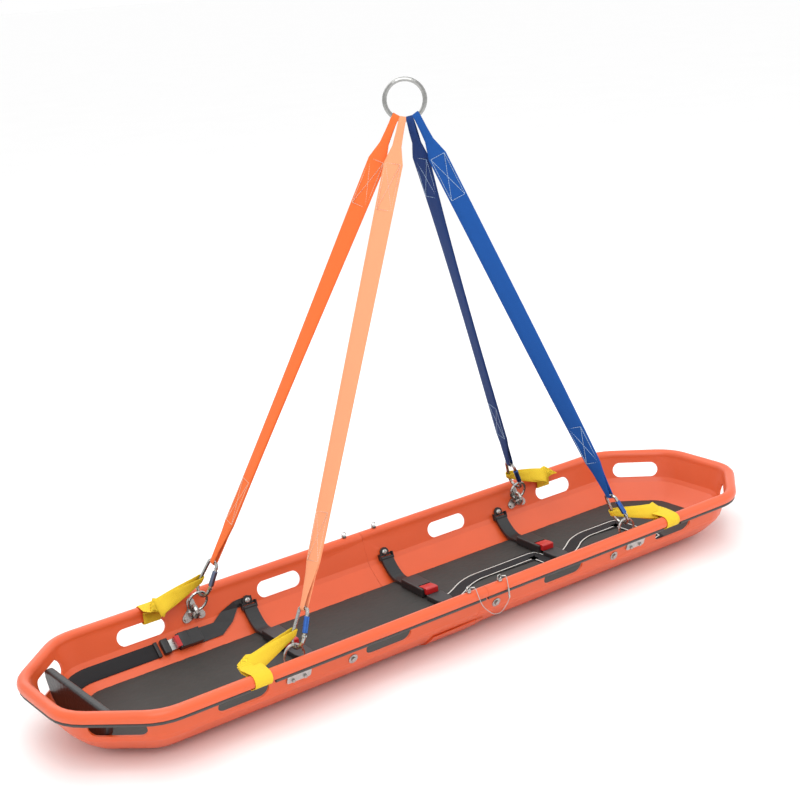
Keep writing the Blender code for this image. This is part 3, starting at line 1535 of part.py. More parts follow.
def foot_belt_webbing():
    """From the stud on the wall down to the slope and along it into the buckle."""
    height = REST_GAP + STRAP_THICKNESS / 2
    stud_x = BELT_X[0]
    narrow = FOOT_BELT_FOLD / 2
    half = FOOT_BELT_WIDTH / 2
    edges = []
    for x, lift in ((stud_x + 0.016, 0), (stud_x, 0), (stud_x - 0.024, 0), (stud_x - 0.036, 0.0030)):
        place = wall_frame(x, STUD_Z, 1)
        edges.append((place @ Vector((0, narrow, height + lift)), place @ Vector((0, -narrow, height + lift))))
    wall = wall_frame(stud_x - 0.070, STUD_Z, 1)
    slope = slope_frame(stud_x - 0.070)
    edges.append((wall @ Vector((0, -0.003, height + 0.001)), slope @ Vector((0, 0.002, height + 0.002))))
    for x in (stud_x - 0.105, FOOT_BUCKLE_X + 0.028):
        place = slope_frame(x)
        edges.append((place @ Vector((0, half, height + 0.001)), place @ Vector((0, -half, height + 0.001))))
    return edges


def edge_stations(edges):
    return [((high + low) / 2, (high - low).normalized(), (high - low).length) for high, low in edges]


def foot_belt_buckle(material):
    """Housing with the webbing sewn to its back end."""
    place = slope_frame(FOOT_BUCKLE_X)
    half = FOOT_BUCKLE_WIDTH / 2
    end = -FOOT_BUCKLE_LENGTH / 2
    bm = bmesh.new()
    add_box(bm, (end, -half, FOOT_BUCKLE_LIFT), (-end, half, FOOT_BUCKLE_TOP), place)
    body = from_bmesh("foot_belt_buckle", bm, material, smooth_angle=35)
    bevel = body.modifiers.new("rounding", "BEVEL")
    bevel.width = 0.0020
    bevel.segments = 2
    bm = bmesh.new()
    stations = edge_stations(foot_belt_webbing())
    add_ribbon(bm, stations, STRAP_THICKNESS)
    combine(body, "UNION", guide("foot_webbing", bm))
    bm = bmesh.new()
    collar = station_wall(BELT_X[0])
    add_cylinder(bm, STUD_COLLAR_RADIUS + 2 * FIT, -WALL, WALL, collar, segments=16)
    combine(body, "DIFFERENCE", guide("foot_stud_hole", bm))
    bm = bmesh.new()
    pocket = FOOT_BUTTON_WIDTH / 2 + FIT
    add_box(bm, (end - 0.010, -pocket, FOOT_BUTTON_LOW - FIT),
            (end + FOOT_BUTTON_REACH + FOOT_BUTTON_TRAVEL + FIT, pocket, 2 * FOOT_BUCKLE_TOP), place)
    combine(body, "DIFFERENCE", guide("foot_pocket", bm))
    bm = bmesh.new()
    slot = FOOT_BLADE_WIDTH / 2 + FIT
    add_box(bm, (end - 0.010, -slot, FOOT_BLADE_LOW - FIT),
            (end + 0.026, slot, FOOT_BLADE_LOW + BLADE_THICKNESS + FIT), place)
    combine(body, "DIFFERENCE", guide("foot_slot", bm))


def foot_belt_button(material):
    place = slope_frame(FOOT_BUCKLE_X)
    end = -FOOT_BUCKLE_LENGTH / 2
    half = FOOT_BUTTON_WIDTH / 2
    top = FOOT_BUCKLE_TOP + 0.0015
    low = FOOT_BUTTON_LOW
    outline = [(end - FOOT_BUTTON_PROUD, low), (end + FOOT_BUTTON_REACH, low),
               (end + FOOT_BUTTON_REACH, FOOT_BUCKLE_TOP - 0.001), (end + 0.004, top),
               (end - FOOT_BUTTON_PROUD + 0.002, top), (end - FOOT_BUTTON_PROUD, top - 0.002)]
    upright = place @ frame((0, 0, 0), (1, 0, 0), (0, -1, 0))
    flat_shape("foot_belt_button", outline, -half, half, upright, material)


def foot_belt_tongue(material):
    """Blade, housing, and the three-bar slide that the free end runs through."""
    place = slope_frame(FOOT_BUCKLE_X)
    end = -FOOT_BUCKLE_LENGTH / 2
    front = end - FOOT_BUTTON_PROUD - FOOT_BUTTON_TRAVEL - 0.001
    back = front - FOOT_TONGUE_LENGTH
    half = FOOT_BUCKLE_WIDTH / 2 - 0.001
    low = FOOT_BUCKLE_LIFT
    bm = bmesh.new()
    add_box(bm, (back, -half, low), (front, half, low + FOOT_TONGUE_HEIGHT), place)
    body = from_bmesh("foot_belt_tongue", bm, material, smooth_angle=35)
    bevel = body.modifiers.new("rounding", "BEVEL")
    bevel.width = 0.0020
    bevel.segments = 2
    bm = bmesh.new()
    blade = FOOT_BLADE_WIDTH / 2
    add_box(bm, (front - 0.008, -blade, FOOT_BLADE_LOW),
            (end + 0.022, blade, FOOT_BLADE_LOW + BLADE_THICKNESS), place)
    combine(body, "UNION", guide("foot_blade", bm))
    bm = bmesh.new()
    web = half - 0.003
    add_box(bm, (back - 0.010, -web, low + 0.002), (back + 0.006, web, low + 0.002 + STRAP_THICKNESS), place)
    combine(body, "UNION", guide("slide_webbing", bm))
    bm = bmesh.new()
    add_box(bm, (back - 0.016, -half, low), (back - 0.006, half, low + 0.0065), place)
    combine(body, "UNION", guide("slide", bm))


def foot_belt_tail(material):
    """The free end along the slope, which bends with the basket towards the foot."""
    height = REST_GAP + STRAP_THICKNESS / 2
    half = FOOT_BELT_WIDTH / 2
    edges = []
    for x in (FOOT_TAIL_X, -0.760, -0.820):
        place = slope_frame(x)
        edges.append((place @ Vector((0, half, height)), place @ Vector((0, -half, height))))
    high = edges[-1][0]
    low = edges[-1][1]
    high_plan = quarter_outline(-1, WIDTH / 2 - high.y, 0.001)
    low_plan = quarter_outline(-1, WIDTH / 2 - low.y, 0.001)
    for i in range(1, CORNER_STEPS + 2):
        edges.append((Vector((*high_plan[i], high.z)), Vector((*low_plan[i], low.z))))
    last = CORNER_STEPS + 1
    share = FOOT_TAIL_RUN / (high_plan[last + 1] - high_plan[last]).length
    high_end = high_plan[last].lerp(high_plan[last + 1], share)
    low_end = low_plan[last].lerp(low_plan[last + 1], share)
    edges.append((Vector((*high_end, high.z)), Vector((*low_end, low.z))))
    bm = bmesh.new()
    add_ribbon(bm, edge_stations(edges), STRAP_THICKNESS)
    from_bmesh("foot_belt_tail", bm, material, smooth_angle=35)


def main():
    global PARTS, GUIDES
    clear_scene()
    PARTS = new_collection("basket_stretcher")
    GUIDES = new_collection("cutters")
    orange = orange_shell()
    steel = plated_steel()
    polished = polished_steel()
    black = black_plastic()
    webbing = black_webbing()
    red = red_plastic()
    foot_half(orange)
    head_half(orange)
    lock_pins(steel)
    pin_lanyard(steel)
    mattress(black_vinyl())
    footrest(black)
    lug_plates(steel)
    backing_plates(white_plate())
    lug_rings(steel)
    carabiners(polished)
    carabiner_gates(polished)
    gate_sleeves(blue_plastic())
    lifting_ring(polished)
    orange_web = orange_webbing()
    blue_web = blue_webbing()
    yellow_web = yellow_webbing()
    for line in chains():
        sling_leg(line, orange_web if line["end"] < 0 else blue_web)
        edge_loop(line, yellow_web)
    belt_tabs(steel)
    buckle_stalks(black)
    release_buttons(red)
    belt_tongues(black)
    belt_straps(webbing)
    foot_belt_buckle(black)
    foot_belt_button(red)
    foot_belt_tongue(black)
    foot_belt_tail(webbing)


main()
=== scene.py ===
"""The basket stretcher as photographed: materials, webbing, padding, light and camera."""
from math import atan2, cos, pi, radians, sin, sqrt, tan

import bmesh
import bpy
from mathutils import Matrix, Vector
from mathutils.noise import noise as field


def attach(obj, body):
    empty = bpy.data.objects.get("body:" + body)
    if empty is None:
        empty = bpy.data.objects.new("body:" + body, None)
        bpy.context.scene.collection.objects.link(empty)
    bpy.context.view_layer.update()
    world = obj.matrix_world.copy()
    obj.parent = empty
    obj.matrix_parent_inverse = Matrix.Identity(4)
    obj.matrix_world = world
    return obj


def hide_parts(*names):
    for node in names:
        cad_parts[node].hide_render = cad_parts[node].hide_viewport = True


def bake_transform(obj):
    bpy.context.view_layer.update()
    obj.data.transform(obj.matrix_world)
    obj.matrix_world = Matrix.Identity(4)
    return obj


# Camera, solved from the photograph
FOCAL_PIXELS = 1557.42
PICTURE = 800
CAMERA_PLACE = (-2.2285, -3.0321, 1.70245)
CAMERA_AZIMUTH = radians(-36.06)
CAMERA_ELEVATION = radians(16.46)
CAMERA_ROLL = radians(-4.28)

# Looks
ORANGE = (0.74, 0.100, 0.020)
COVER = (0.040, 0.038, 0.035)
REST_COVER = (0.022, 0.021, 0.022)
# foot_front's paler peach is painted light: it is the same orange webbing as foot_back, painted paler where
# light falls on it
LEG_COLOURS_AND_LIGHT = {"foot_back": (0.90, 0.17, 0.035), "foot_front": (0.94, 0.36, 0.18),
               "head_back": (0.009, 0.042, 0.18), "head_front": (0.005, 0.083, 0.35)}
# Degrees of twist at each leg's low and high end
LEG_TWISTS = {"foot_back": (-28, -28), "foot_front": (5, -15),
              "head_back": (-10, -60), "head_front": (18, 18)}
CROWN_GAIN = 0.0030
LEG_PARTS = 20
RIB_PITCH = 0.0022
CHEVRON_PITCH = 0.0110
PICK_PITCH = 0.0020
CHEVRON_LEAD = 4.0
BAND_STEP = 0.006
BAND_SHARP = radians(50)
THREAD_RADIUS = 0.0008
STITCH_PITCH = 0.0060
STITCH_SHARE = 0.85
STITCH_PROFILE = ((-1.0, 0.32), (-0.6, 1.6), (0.6, 1.6), (1.0, 0.32))
SEAM_LENGTH = 0.115
SEAM_LIFT = 0.0001
SEAM_WIDTH_SHARE = 0.80
TAIL_X = (-0.668, -0.760, -0.820)
FERRULE_PLACE = 0.001
RED_SHOWING = 0.005
BLADE_SHOWING = 0.012
FERRULE = ((0.0010, 0), (0.0019, 0.0006), (0.0019, 0.0090), (0.0010, 0.0096))
CLIP = ((0.0012, 0), (0.0027, 0.0015), (0.0027, 0.0120), (0.0018, 0.0135), (0.0018, 0.0150),
        (0.0026, 0.0165), (0.0026, 0.0260), (0.0012, 0.0280))
HEAD_GAIN = 0.0004
HEAD_DOME = ((1.0, 0.0), (0.86, 0.0011), (0.55, 0.0018), (0.30, 0.0019), (0.26, 0.0006))
WASHER_RADIUS = 0.0125
TURNED_STEPS = 24
TURNED_SHARP = radians(40)
# A dark bead that paints the shadow line under the rolled rim: painted shade
SHADOW_BEAD_RADIUS = 0.0046
SHADOW_BEAD_INSET = 0.0078
SHADOW_BEAD_Z = 0.1308
SHADOW_BEAD_BREAK = 0.034
JOINT_BREAK = 0.004
LUG_GROWTH = 1.35
LOOP_WIDENING = 1.28
LOOP_FOLD_WIDENING = 1.6
LOOP_NEAR_WIDENING = 1.2
LOOP_FACE = (0, -0.75, 0.66)
HOLE_ROUND_STEPS = 14
HOLE_CUT_REACH = 0.020
SHELL_SHARP = radians(34)
WELD = 0.000002
MATTRESS_VOXEL = 0.0045
FOOTREST_VOXEL = 0.0030
ROLL_GROWTH = 0.0035
ROLL_LOW = 0.060
FLOOR_LEVEL = 0.028
FLOOR_SIZE = 400
SKY_LOW = 0.82
SKY_HIGH = 1.15
SENSOR = 36
# Name, place, size, power and aim of each lamp
LAMPS = (("key", (-1.8, -2.6, 4.2), 3.0, 75, (0, 0, 0.2)),
         ("fill", (3.6, -2.4, 2.8), 3.0, 20, (0.2, 0, 0.2)),
         ("back", (0.5, 3.6, 3.4), 3.0, 30, (0, 0, 0.2)),
         ("top", (0.0, 0.2, 5.0), 4.0, 45, (0, 0, 0)))
UP = Vector((0, 0, 1))

# The same sizes as the part's
LENGTH = 2.160
WIDTH = 0.560
HEIGHT = 0.160
END_WIDTH = 0.242
TAPER = 0.170
WALL = 0.005
CORNER_RADIUS = 0.120
CORNER_SHRINK = 0.50
CORNER_STEPS = 4
RIM_RADIUS = 0.0153
LIP_ANGLE = radians(-35)
LIP_STEPS = 7
FLOOR_Z = 0.013
FLOOR_INSET = 0.155
FLOOR_ARC = 0.099
FLOOR_ARC_STEPS = 3
SLOPE = radians(45)
KNEE_LOW = (0.0556, 0.0714)
KNEE_HIGH = (0.0483, 0.0833)
WALL_TOP = (2 * RIM_RADIUS, 0.138)
HOLE_LENGTH = 0.134
HOLE_HEIGHT = 0.043
HOLE_Z = 0.106
HOLE_X = (0.283, 0.690)
PIN_X = 0.050
PIN_HEAD_HEIGHT = 0.0040
PIN_EYE_RADIUS = 0.0060
PIN_EYE_WIRE = 0.0013
LANYARD_RADIUS = 0.0009
LANYARD_STEPS = 3
MATTRESS_TOP = 0.0335
MATTRESS_CROWN = 0.0010
MATTRESS_INSET = 0.1075
REST_GAP = 0.0003
LUG_X = 0.543
LUG_Z = 0.112
EYE_RADIUS = 0.0115
EYE_WIRE = 0.0040
EYE_STAND = 0.0165
RING_RADIUS = 0.0265
RING_WIRE = 0.0035
LINK_GAP = 0.0007
BOW_RADIUS = 0.0250
CROWN_Z = 0.0930
NOSE_ANGLE = radians(7.2)
HOOK_WIRE = 0.0045
LIFT_CENTRE = Vector((0.038, -0.029, 1.3346))
LIFT_RADIUS = 0.0485
LIFT_WIRE = 0.0055
LIFT_CLEARANCE = 0.0010
LIFT_TURN = radians(-36)
LEG_SPREAD = radians(22)
LEG_WIDTH = 0.046
LEG_EYE_WIDTH = 0.022
LEG_CROWN_WIDTH = 0.015
LEG_THICKNESS = 0.0024
LEG_PLY_GAP = 0.0006
LEG_EYE_LENGTH = 0.110
LOOP_X = 0.655
LOOP_WIDTH = 0.036
LOOP_HOOK_WIDTH = 0.013
LOOP_THICKNESS = 0.0022
LOOP_CLEARANCE = 0.0008
LOOP_SPINE_PLACE = 0.0090
LOOP_HOOK_CLEARANCE = 0.0016
LOOP_RIM_STEPS = 5
LOOP_LEAVE = radians(90)
LOOP_FOLD_Y = 0.2220
LOOP_FOLD_Z = 0.1590
LOOP_FOLD_RUN = 0.020
LOOP_SPREAD = 0.0032
LOOP_ENTER = radians(-50)
BELT_X = (-0.388, 0.055, 0.467)
BELT_YAW = radians(-3.0)
STUD_Z = 0.094
TAB_SHANK = 0.0073
STRAP_SHANK = 0.0028
STUD_HEAD = (0.0075, 0.0025)
STUD_WASHER = (0.0125, 0.0018)
STUD_WASHER_THICKNESS = 0.0015
STUD_NUT_RADIUS = 0.0060
STUD_NUT_THICKNESS = 0.0050
TONGUE_WIDTH = 0.048
STRAP_WIDTH = 0.042
STRAP_THICKNESS = 0.0020
STRAP_START = 0.012
STRAP_EXIT_Y = -0.030
STRAP_LIFT = 0.0045
STRAP_TAIL = 0.018
STRAP_LEDGE = 0.010
FOOT_BELT_WIDTH = 0.040
FOOT_BUCKLE_X = -0.580
FOOT_BUCKLE_LENGTH = 0.066
FOOT_BUCKLE_WIDTH = 0.040
FOOT_BUCKLE_LIFT = 0.0008
FOOT_BUCKLE_TOP = 0.0190
FOOT_BUTTON_PROUD = 0.0080
FOOT_BUTTON_REACH = 0.022
FOOT_BUTTON_TRAVEL = 0.003
FOOT_TONGUE_LENGTH = 0.032
FOOT_TONGUE_HEIGHT = 0.0125
FOOT_TAIL_RUN = 0.030


# Heights between which an edge of the shell belongs to its knee, and how level it is
KNEE_SEARCH = (KNEE_LOW[1] - 0.008, KNEE_HIGH[1] + 0.006)
KNEE_LEVEL = 0.001


# Places on the part

def frame(origin, x_axis, z_axis):
    """A frame at origin with the given Z axis, and its X axis as near x_axis as it can be."""
    z_axis = Vector(z_axis).normalized()
    x_axis = Vector(x_axis)
    x_axis = (x_axis - z_axis * x_axis.dot(z_axis)).normalized()
    y_axis = z_axis.cross(x_axis)
    matrix = Matrix((x_axis, y_axis, z_axis)).transposed().to_4x4()
    matrix.translation = Vector(origin)
    return matrix


def smooth_path(points, steps):
    """A soft line through the points (Catmull-Rom). A point is any vector."""
    result = []
    last = len(points) - 1
    for i in range(last):
        before, start, end, after = (points[min(max(j, 0), last)] for j in range(i - 1, i + 3))
        for step in range(steps):
            t = step / steps
            result.append(0.5 * (2 * start + (end - before) * t
                                 + (2 * before - 5 * start + 4 * end - after) * t * t
                                 + (3 * start - before - 3 * end + after) * t ** 3))
    result.append(points[last].copy())
    return result


def wall_slope():
    return atan2(KNEE_HIGH[0] - WALL_TOP[0], WALL_TOP[1] - KNEE_HIGH[1])


def wall_inset(z):
    """Inset of the upper wall's inner skin at a height."""
    return WALL_TOP[0] + (WALL_TOP[1] - z) * tan(wall_slope())


def wall_frame(x, z, side):
    """On the inner skin of a long wall: local Z points into the basket, local Y up the wall."""
    tilt = wall_slope()
    origin = (x, side * (WIDTH / 2 - wall_inset(z)), z)
    inward = (0, -side * cos(tilt), sin(tilt))
    return frame(origin, (side, 0, 0), inward)


def section_levels():
    """Inset and height of each level of the inner skin, from the floor to the lip."""
    levels = []
    centre_z = FLOOR_Z + FLOOR_ARC
    for i in range(FLOOR_ARC_STEPS + 1):
        angle = SLOPE * i / FLOOR_ARC_STEPS
        levels.append((FLOOR_INSET - FLOOR_ARC * sin(angle), centre_z - FLOOR_ARC * cos(angle)))
    levels += [KNEE_LOW, KNEE_HIGH, WALL_TOP]
    for i in range(LIP_STEPS + 1):
        angle = pi + (LIP_ANGLE - pi) * i / LIP_STEPS
        inset = RIM_RADIUS - RIM_RADIUS * cos(angle)
        levels.append((inset, HEIGHT - RIM_RADIUS + RIM_RADIUS * sin(angle)))
    return levels


def rim_middle():
    """Distance of the rolled rim's centre line from the basket's middle."""
    return WIDTH / 2 - RIM_RADIUS


def corner_items():
    """Name, end sign and side sign of the four corners of the basket."""
    return (("foot_back", -1, 1), ("foot_front", -1, -1), ("head_back", 1, 1), ("head_front", 1, -1))


def chain(name, end, side):
    """The pull line of one corner, from the lug's eye to its place on the lifting ring."""
    place = {"foot_back": -1.5, "foot_front": -0.5, "head_back": 0.5, "head_front": 1.5}[name]
    sideways = Vector((cos(LIFT_TURN), sin(LIFT_TURN), 0))
    angle = place * LEG_SPREAD
    top = LIFT_CENTRE + (sideways * sin(angle) - UP * cos(angle)) * LIFT_RADIUS
    tangent = sideways * cos(angle) + UP * sin(angle)
    lug = wall_frame(end * LUG_X, LUG_Z, side)
    eye = lug @ Vector((0, 0, EYE_STAND))
    first = lug.to_3x3().transposed() @ (top - eye)
    seat = lug @ (Vector((0, 0, EYE_STAND)) + Vector((0, first.y, first.z)).normalized() * EYE_RADIUS)
    pull = (top - seat).normalized()
    gate_side = Vector((1, 0, 0)).cross(pull).normalized()
    ring = seat + pull * (RING_RADIUS - RING_WIRE - EYE_WIRE - LINK_GAP)
    bow = ring + pull * (RING_RADIUS - RING_WIRE - HOOK_WIRE - LINK_GAP)
    return {"name": name, "end": end, "side": side, "top": top, "tangent": tangent, "pull": pull,
            "gate_side": gate_side, "bow": bow}


def chains():
    return [chain(name, end, side) for name, end, side in corner_items()]


def wrap(centre, across, ahead, radius, width, steps=6):
    """Half a turn of band round a wire, over its far side, from one flank to the other."""
    ahead = (ahead - across * ahead.dot(across)).normalized()
    flank = across.cross(ahead)
    angles = [pi * i / steps for i in range(steps + 1)]
    return [(centre + (flank * cos(angle) + ahead * sin(angle)) * radius, across, width)
            for angle in angles]


def leg_plan(length, low_turn, high_turn):
    """Distance from the lower wire, half the spread of the two plies, and width."""
    ply = (LEG_THICKNESS + LEG_PLY_GAP) / 2
    plan = [(LEG_EYE_LENGTH * 0.3, low_turn * 0.8, LEG_EYE_WIDTH),
            (LEG_EYE_LENGTH * 0.7, ply * 1.3, LEG_WIDTH * 0.75), (LEG_EYE_LENGTH, ply, LEG_WIDTH)]
    for i in range(1, LEG_PARTS):
        place = LEG_EYE_LENGTH + (length - 2 * LEG_EYE_LENGTH) * i / LEG_PARTS
        plan.append((place, ply, LEG_WIDTH))
    plan.append((length - LEG_EYE_LENGTH, ply, LEG_WIDTH))
    plan.append((length - LEG_EYE_LENGTH * 0.6, ply * 1.3, LEG_EYE_WIDTH))
    plan.append((length - LEG_EYE_LENGTH * 0.3, high_turn * 0.8, LEG_CROWN_WIDTH))
    return plan


def part_way(start, finish, share):
    """A station at a share of the way between two others."""
    return (start[0].lerp(finish[0], share), start[1].lerp(finish[1], share).normalized(),
            start[2] + (finish[2] - start[2]) * share)


def between(start, finish, steps):
    """Stations strictly between two others."""
    return [part_way(start, finish, i / steps) for i in range(1, steps)]


def loop_rim_stations(x, side):
    """Over the rim from inside to outside, in through the hand hole and up inside the wall."""
    level = Vector((side, 0, 0))
    rim = Vector((x, side * rim_middle(), HEIGHT - RIM_RADIUS))
    around = RIM_RADIUS + LOOP_CLEARANCE + LOOP_THICKNESS / 2
    points = []
    for i in range(LOOP_RIM_STEPS + 1):
        angle = LOOP_LEAVE + (LOOP_ENTER - LOOP_LEAVE) * i / LOOP_RIM_STEPS
        points.append(rim + Vector((0, side * cos(angle), sin(angle))) * around)
    hole_top = HOLE_Z + HOLE_HEIGHT / 2 * cos(wall_slope())
    top_y = WIDTH / 2 - wall_inset(hole_top)
    under = hole_top - LOOP_CLEARANCE - LOOP_THICKNESS
    near = LOOP_CLEARANCE + LOOP_THICKNESS
    for y, z in ((top_y + 0.013, under - 0.001), (top_y + 0.003, under - 0.004),
                 (top_y - near - 0.0015, under - 0.002), (top_y - near - 0.0010, hole_top + 0.004),
                 (top_y - near + 0.0005, hole_top + 0.018), (top_y - near - 0.0010, hole_top + 0.025)):
        points.append(Vector((x, side * y, z)))
    return [(point, level, LOOP_WIDTH) for point in points]


def station(x):
    """Upright frame of a belt's place, turned a little about its stud."""
    stud_y = WIDTH / 2 - wall_inset(STUD_Z)
    return (Matrix.Translation((x, stud_y, 0)) @ Matrix.Rotation(BELT_YAW, 4, "Z")
            @ Matrix.Translation((0, -stud_y, 0)))


def bench():
    """Height of what lies on the mattress."""
    return MATTRESS_TOP + MATTRESS_CROWN + REST_GAP


def lay(stations, width):
    """Band stations from points and the direction each one faces."""
    result = []
    last = len(stations) - 1
    for i, (point, facing) in enumerate(stations):
        along = stations[min(i + 1, last)][0] - stations[max(i - 1, 0)][0]
        across = along.cross(facing).normalized()
        result.append((point, across, width))
    return result


def soften(route, steps):
    """A smooth route through (point, facing) pairs."""
    points = smooth_path([point for point, _ in route], steps)
    facings = smooth_path([facing for _, facing in route], steps)
    return list(zip(points, facings))


def mitred(route, width, corners):
    """Band stations along flat runs that meet in square folds at the given indices."""
    stations = lay(route, width)
    for index in corners:
        point, across, _ = stations[index]
        stations[index] = (point, across, width * sqrt(2))
    return stations


def hull_point(level, height):
    """Inset and height of a point above a corner of the inner skin's section, and the way it faces."""
    levels = section_levels()
    here = Vector(levels[level])
    before = (here - Vector(levels[level - 1])).normalized()
    after = (Vector(levels[level + 1]) - here).normalized()
    facing = Vector((before.y + after.y, -before.x - after.x)).normalized()
    reach = height / facing.dot(Vector((after.y, -after.x)))
    return here + facing * reach, facing


def front_hull_route(x):
    """Up the front slope and wall to past the strap's stud."""
    height = REST_GAP + STRAP_THICKNESS / 2
    route = []
    for level in range(FLOOR_ARC_STEPS, FLOOR_ARC_STEPS + 3):
        point, facing = hull_point(level, height)
        route.append((Vector((x, point.x - WIDTH / 2, point.y)), Vector((0, facing.x, facing.y))))
    place = wall_frame(x, STUD_Z, -1)
    inward = place.to_3x3() @ UP
    return route + [(place @ Vector((0, rise, height)), inward) for rise in (0, STRAP_TAIL)]


def strap_start(x):
    """The strap's first points, inside the tongue's slot and just out of it."""
    height = bench() + STRAP_LIFT + STRAP_THICKNESS / 2
    place = station(x)
    side = TONGUE_WIDTH / 2
    points = [(STRAP_START, height), (side + 0.002, height), (side + 0.016, height - 0.0030)]
    return [(place @ Vector((px, STRAP_EXIT_Y, z)), UP) for px, z in points]


def arc_points(centre, radius, start, end, steps):
    angles = [start + (end - start) * i / steps for i in range(steps + 1)]
    return [(centre[0] + radius * cos(angle), centre[1] + radius * sin(angle)) for angle in angles]


def plan_corners(inset):
    """Corner points of one quarter of the plan at an inset: side to taper, taper to end."""
    angle = atan2((WIDTH - END_WIDTH) / 2, TAPER)
    side_y = WIDTH / 2 - inset
    end_x = LENGTH / 2 - inset
    side_x = LENGTH / 2 - TAPER - inset * tan(angle / 2)
    end_y = END_WIDTH / 2 - inset * tan((pi / 2 - angle) / 2)
    return Vector((side_x, side_y)), Vector((end_x, end_y))


def rounded(corner, into, out_of, radius):
    """Points of the arc that rounds a left-hand corner between two directions."""
    turn = into.angle(out_of)
    start = corner - into * radius * tan(turn / 2)
    left = Vector((-into.y, into.x))
    centre = start + left * radius
    heading = atan2(-left.y, -left.x)
    return [Vector(p) for p in arc_points(centre, radius, heading, heading + turn, CORNER_STEPS)]


def quarter_outline(end, inset, joint_x):
    """Plan points of a back quarter at an inset, counter-clockwise seen from above."""
    radius = CORNER_RADIUS - CORNER_SHRINK * inset
    side_corner, end_corner = plan_corners(inset)
    widening = (side_corner - end_corner).normalized()
    points = [Vector((end_corner.x, 0))]
    points += rounded(end_corner, Vector((0, 1)), widening, radius)
    points += rounded(side_corner, widening, Vector((-1, 0)), radius)
    points.append(Vector((joint_x, side_corner.y)))
    if end > 0:
        return points
    return [Vector((-p.x, p.y)) for p in reversed(points)]


def taper_frame(end, side, z):
    """On the inner skin of a tapered wall, in the middle of its length."""
    side_corner, end_corner = plan_corners(wall_inset(z))
    middle = (side_corner + end_corner) / 2
    run = (end_corner - side_corner).normalized()
    tilt = wall_slope()
    origin = (end * middle.x, side * middle.y, z)
    outward = Vector((-run.y * end, run.x * side, 0))
    inward = -outward * cos(tilt) + Vector((0, 0, sin(tilt)))
    return frame(origin, (run.x * end, run.y * side, 0), inward)


def slot_outline(length, height, steps):
    radius = height / 2
    arc = arc_points((length / 2 - radius, 0), radius, -pi / 2, pi / 2, steps)
    return arc + [(-x, -y) for x, y in arc]


def join_rings(bm, ring, following):
    count = len(ring)
    for i in range(count):
        j = (i + 1) % count
        bm.faces.new((ring[i], ring[j], following[j], following[i]))


def station_wall(x):
    """The tab's wall frame, with the same small turn."""
    return station(x) @ Matrix.Translation((-x, 0, 0)) @ wall_frame(x, STUD_Z, 1)


def slope_frame(x):
    """On the back slope's middle: local X along the basket, Y up the slope, Z into the basket."""
    foot = section_levels()[FLOOR_ARC_STEPS]
    middle = ((foot[0] + KNEE_LOW[0]) / 2, (foot[1] + KNEE_LOW[1]) / 2)
    return frame((x, WIDTH / 2 - middle[0], middle[1]), (1, 0, 0), (0, -1, 1))


def edge_stations(edges):
    return [((high + low) / 2, (high - low).normalized(), (high - low).length) for high, low in edges]


# Materials

def feed(owner, socket, value):
    """Gives an input a value, or links it to another node's output."""
    if isinstance(value, bpy.types.NodeSocket):
        owner.node_tree.links.new(value, socket)
    else:
        socket.default_value = value


def add_node(owner, kind, **inputs):
    """A node of a material or of the world, with its inputs fed."""
    node = owner.node_tree.nodes.new(kind)
    for name, value in inputs.items():
        feed(owner, node.inputs[name.replace("_", " ")], value)
    return node


def surface(material, name, value):
    """Feeds an input of the material's Principled node."""
    feed(material, material.node_tree.nodes["Principled BSDF"].inputs[name], value)


def shader(name, colour, roughness, metallic=0.0, specular=0.5):
    """A material whose Principled node's own sockets hold its plain values."""
    material = bpy.data.materials.new(name)
    material.use_nodes = True
    surface(material, "Base Color", (*colour, 1))
    surface(material, "Roughness", roughness)
    surface(material, "Metallic", metallic)
    surface(material, "Specular IOR Level", specular)
    return material


def own_place(material):
    """The object's own metres."""
    return add_node(material, "ShaderNodeTexCoord").outputs["Object"]


def noise(material, scale, detail=3.0, stretch=(1, 1, 1)):
    mapping = add_node(material, "ShaderNodeMapping", Vector=own_place(material), Scale=stretch)
    place = mapping.outputs["Vector"]
    return add_node(material, "ShaderNodeTexNoise", Vector=place, Scale=scale, Detail=detail).outputs["Fac"]


def ramp(material, factor, low, high, colours):
    node = add_node(material, "ShaderNodeValToRGB", Fac=factor)
    for element, place, colour in zip(node.color_ramp.elements, (low, high), colours):
        element.position = place
        element.color = (*colour, 1)
    return node.outputs["Color"]


def tint(material, factor, low, high, colours):
    surface(material, "Base Color", ramp(material, factor, low, high, colours))


def bump(material, height, strength, distance, **before):
    """Raises the surface, over an earlier bump given as Normal."""
    raised = add_node(material, "ShaderNodeBump", Height=height, Strength=strength, Distance=distance,
                      **before).outputs["Normal"]
    surface(material, "Normal", raised)
    return raised


def vary_roughness(material, factor, low, high):
    node = add_node(material, "ShaderNodeMapRange", To_Min=low, To_Max=high, Value=factor)
    surface(material, "Roughness", node.outputs["Result"])


def scaled(colour, share):
    return tuple(value * share for value in colour)


def moulded_plastic():
    """Orange polyethylene: slight orange peel, faint cloudiness and rubbed streaks."""
    material = shader("orange_plastic", ORANGE, 0.42)
    surface(material, "Coat Weight", 0.25)
    surface(material, "Coat Roughness", 0.35)
    cloud = noise(material, scale=6.0, detail=4.0)
    tint(material, cloud, 0.30, 0.72, (scaled(ORANGE, 0.93), ORANGE))
    rubbed = noise(material, scale=18.0, detail=6.0, stretch=(0.25, 1, 1))
    vary_roughness(material, rubbed, 0.34, 0.52)
    peel = bump(material, noise(material, scale=420.0, detail=2.0), strength=0.10, distance=0.0004)
    bump(material, noise(material, scale=14.0, detail=2.0), strength=0.25, distance=0.0020, Normal=peel)
    return material


